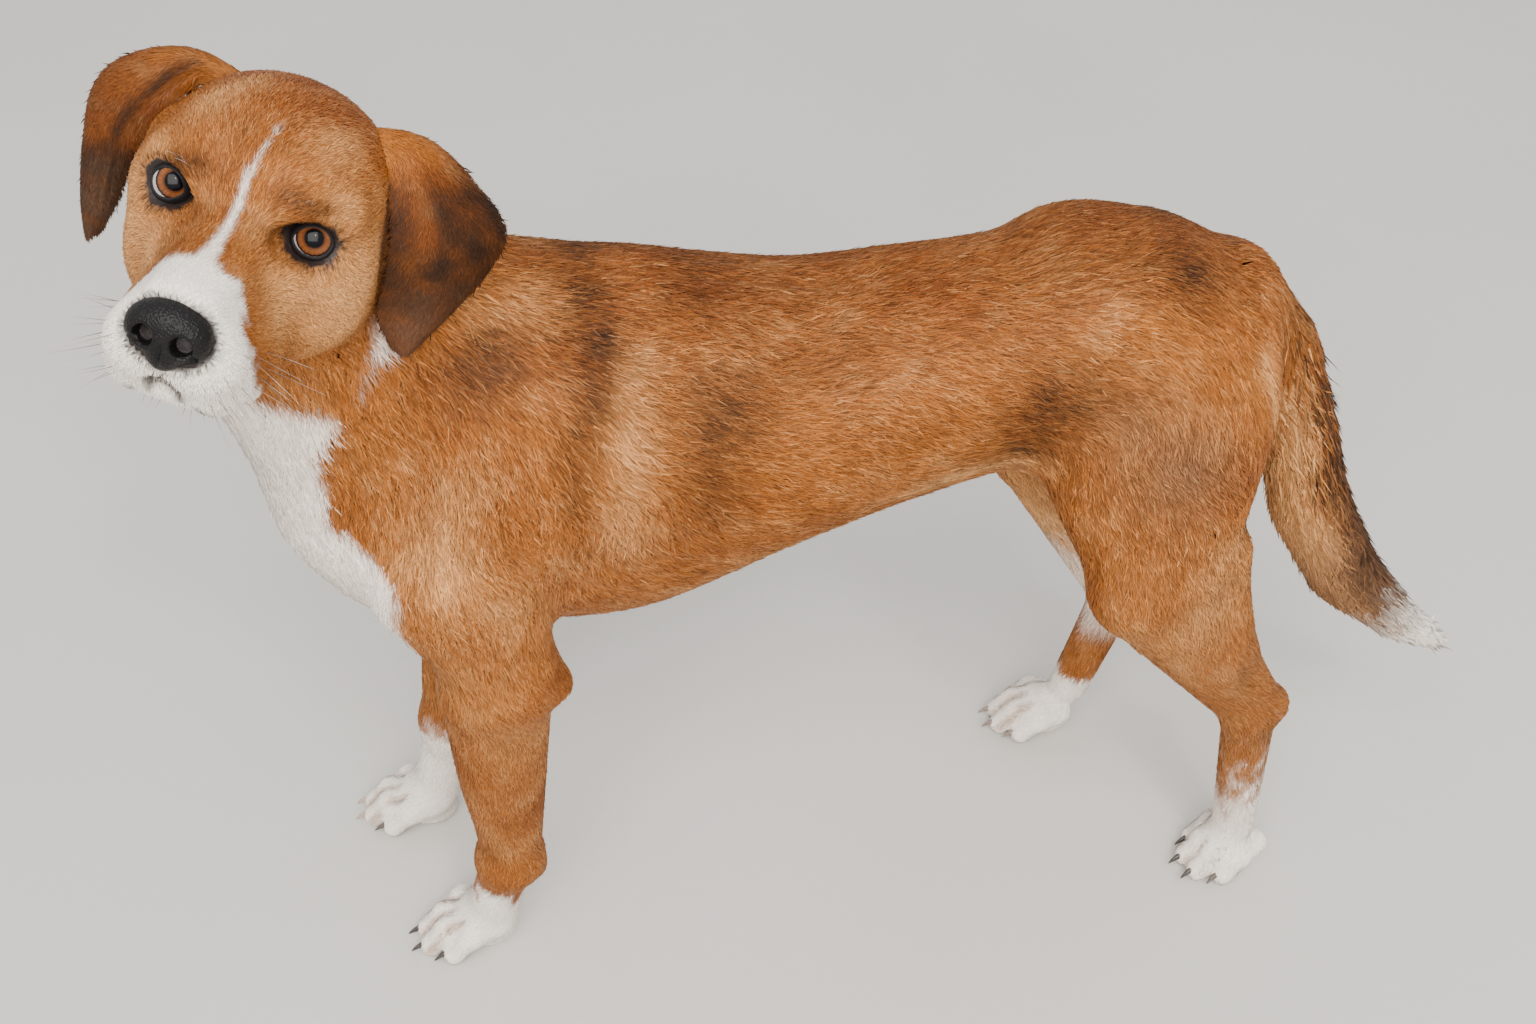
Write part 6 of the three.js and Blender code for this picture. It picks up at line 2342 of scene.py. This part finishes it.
@dataclass
class Whiskers:
    """Whiskers on the lips, brows and chin, in the head's frame: thin tapering hairs that curve back."""

    seed: int = 9
    rings: int = 12
    sunk: float = 0.8

    def strand(self, root: Array, way: Array, curl: Array, length: float, thick: float) -> Surface:
        """One hair: squares along a line that bends towards curl with the square of the way."""
        t = np.linspace(0.0, 1.0, self.rings)[:, None]
        line = root + way * length * t + curl * length * t**2
        side = unit(np.cross(way, curl + 1e-3))
        other = unit(np.cross(way, side))
        a = np.arange(4) * math.pi / 2.0
        ring = np.cos(a)[:, None] * side + np.sin(a)[:, None] * other
        radius = thick * (1.0 - 0.85 * t)
        points = line[:, None] + ring[None] * radius[:, :, None]
        tube = with_caps(outward(lattice(points)), self.rings, 4)
        tube.values = {"along": np.concatenate([np.repeat(t.ravel(), 4), [0.0, 1.0]])}
        return tube

    def lip_hairs(self, s: float, rng: np.random.Generator) -> Iterator[Hair]:
        """Four rows of four on one lip, each row further down and each column further back."""
        for row in range(4):
            for column in range(4):
                place = np.array([s * (21.0 + 2.6 * column), 70.0 - 8.5 * column, -46.0 - 6.5 * row])
                place += rng.normal(0.0, 1.2, 3)
                way = unit(np.array([s * (0.75 + 0.12 * column), 0.55 - 0.3 * column, -0.28 - 0.12 * row]))
                way = unit(way + rng.normal(0.0, 0.1, 3))
                curl = np.array([s * 0.05, -0.3, -0.22]) + rng.normal(0.0, 0.05, 3)
                yield place, way, curl, rng.uniform(20.0, 40.0), 0.17

    def brow_hairs(self, s: float, rng: np.random.Generator) -> Iterator[Hair]:
        """Three above one eye."""
        for number in range(3):
            place = np.array([s * (26.0 + 3.0 * number), 10.0 - 2.0 * number, 17.0])
            way = unit(np.array([s * 0.3, 0.7, 0.75]) + rng.normal(0.0, 0.08, 3))
            yield place, way, np.array([0.0, -0.15, -0.3]), rng.uniform(14.0, 20.0), 0.2

    def chin_hairs(self, s: float, rng: np.random.Generator) -> Iterator[Hair]:
        """Four on one side of the chin."""
        for _ in range(4):
            place = np.array([s * rng.uniform(4.0, 18.0), rng.uniform(40.0, 66.0), -80.0])
            way = unit(np.array([s * 0.25, 0.35, -0.8]) + rng.normal(0.0, 0.12, 3))
            yield place, way, np.array([0.0, -0.35, -0.05]), rng.uniform(12.0, 22.0), 0.18

    def build(self, material: bpy.types.Material) -> None:
        """Puts all whiskers into the scene as one piece."""
        rng = np.random.default_rng(self.seed)
        groups = self.lip_hairs, self.brow_hairs, self.chin_hairs
        made = []
        for place, *ways, length, thick in (hair for s in SIGNS for group in groups for hair in group(s, rng)):
            way, curl = (HEAD.turn(one) for one in ways)
            root = settle(HIDE, HEAD.out(place)[None], 8.0, 4)[0]
            made.append(self.strand(root - way * self.sunk, way, curl, length, thick))
        make_object("whiskers", joined(made), material)


# ---------------------------------------------------------------- studio
@dataclass(frozen=True)
class Studio:
    """A pale floor, soft light from above, and the camera."""

    floor_half: float = 9.0
    camera_at: Triple = (866.5, -24.1, 1159.8)
    right: Triple = (0.17942, 0.98364, 0.01580)
    up: Triple = (-0.66740, 0.10990, 0.73655)
    back: Triple = (0.72276, -0.14270, 0.67620)
    lens: float = 42.53
    sensor: float = 36.0
    surround: float = 1.22

    def floor(self) -> None:
        """A wide flat grid with a faint mottle in its paint."""
        material, n, shader = new_material("floor_paint", Roughness=0.8)
        mottle = n.spread(n.noise(2.2, 4.0), 0.3, 0.7)
        grain = n.spread(n.noise(90.0, 3.0), 0.3, 0.7)
        base = n.blend(mottle, paint(198, 194, 187), paint(202, 198, 192))
        colour = n.blend(n.calc("MULTIPLY", grain, 0.12), base, paint(191, 187, 180))
        n.dress(shader, Base_Color=colour, Normal=n.bump(grain, 0.1, 0.0004))
        line = np.linspace(-self.floor_half, self.floor_half, 9)
        x, y = np.meshgrid(line, line, indexing="ij")
        mesh = bpy.data.meshes.new("floor")
        surface = lattice(np.stack([x, y, np.zeros_like(x)], -1), closed=())
        quads = surface.faces[:, ::-1]
        mesh.from_pydata(surface.vertices.tolist(), [], quads.tolist())
        mesh.materials.append(material)
        piece = add_to_scene("floor", mesh)
        piece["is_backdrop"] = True

    def lamp(self, name: str, at: Triple, aim: Triple, size: float, power: float, tint: Triple) -> None:
        """A square soft light.

        Args:
            name: The light's name.
            at: Its place in metres.
            aim: The place it faces.
            size: The length of its side.
            power: Its power in watts.
            tint: Its colour.
        """
        data = bpy.data.lights.new(name, "AREA")
        data.shape, data.size, data.energy, data.color = "SQUARE", size, power, tint
        lamp = add_to_scene(name, data)
        lamp.location = at
        lamp.rotation_euler = (Vector(aim) - Vector(at)).to_track_quat("-Z", "Y").to_euler()

    def light(self) -> None:
        """A bright even surround, a broad light above and a small one by the camera for the eyes' glint."""
        world = bpy.data.worlds.new("studio")
        bpy.context.scene.world = world
        world.use_nodes = True
        background = world.node_tree.nodes["Background"]
        Nodes(world.node_tree).dress(background, Color=(0.98, 0.985, 1.0, 1.0), Strength=self.surround)
        self.lamp("overhead", (2.0, -0.4, 2.5), (0.0, 0.0, 0.4), 2.4, 150.0, (1.0, 0.975, 0.93))
        self.lamp("glint", (2.3, 0.35, 3.1), (0.0, -0.2, 0.6), 0.26, 20.0, (0.97, 0.985, 1.0))

    def camera(self) -> None:
        """The camera, turned by the three directions of its own axes."""
        data = bpy.data.cameras.new("camera")
        data.lens, data.sensor_width, data.sensor_fit = self.lens, self.sensor, "HORIZONTAL"
        camera = add_to_scene("camera", data)
        place = (np.array(self.camera_at) + SHIFT) * MM
        rows = np.array([self.right, self.up, self.back])
        turned = np.eye(4)
        turned[:3, :3], turned[:3, 3] = rows.T, place
        camera.matrix_world = Matrix(turned.tolist())
        bpy.context.scene.camera = camera

    def build(self) -> None:
        """Sets the studio up."""
        self.floor()
        self.light()
        self.camera()


def write_sizes() -> None:
    """Works out the box of the solids and that of the finished dog."""
    boxes = {"cad": CAD_BOUNDS, "visual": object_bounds()}
    plain = {key: [[float(v) for v in corner] for corner in box] for key, box in boxes.items()}


def main() -> None:
    """Builds the dog and its studio."""
    Studio().build()
    skin_finish, coat_finish = Fur().build()
    leather = Leather("nose_skin", paint(10, 9, 9), paint(20, 17, 17), 900.0, 0.0005, 0.33).build()
    rims = Leather("lid_skin", paint(18, 15, 16), paint(38, 31, 31), 1500.0, 0.0002, 0.5).build()
    horn = Horn().build()
    skin = Skin()
    skin.build()
    skin.dress(skin_finish)
    globe = EyeFinish().build()
    for eye in EYES:
        eye.build(globe, rims)
    Nose().build(leather)
    for ear in EARS:
        ear.build(skin_finish, coat_finish)
    for claws in PAW_CLAWS:
        claws.build(horn)
    Whiskers().build(Bristle().build())
    Coat(skin).build(coat_finish)
    write_sizes()


if __name__ == "__main__":
    main()
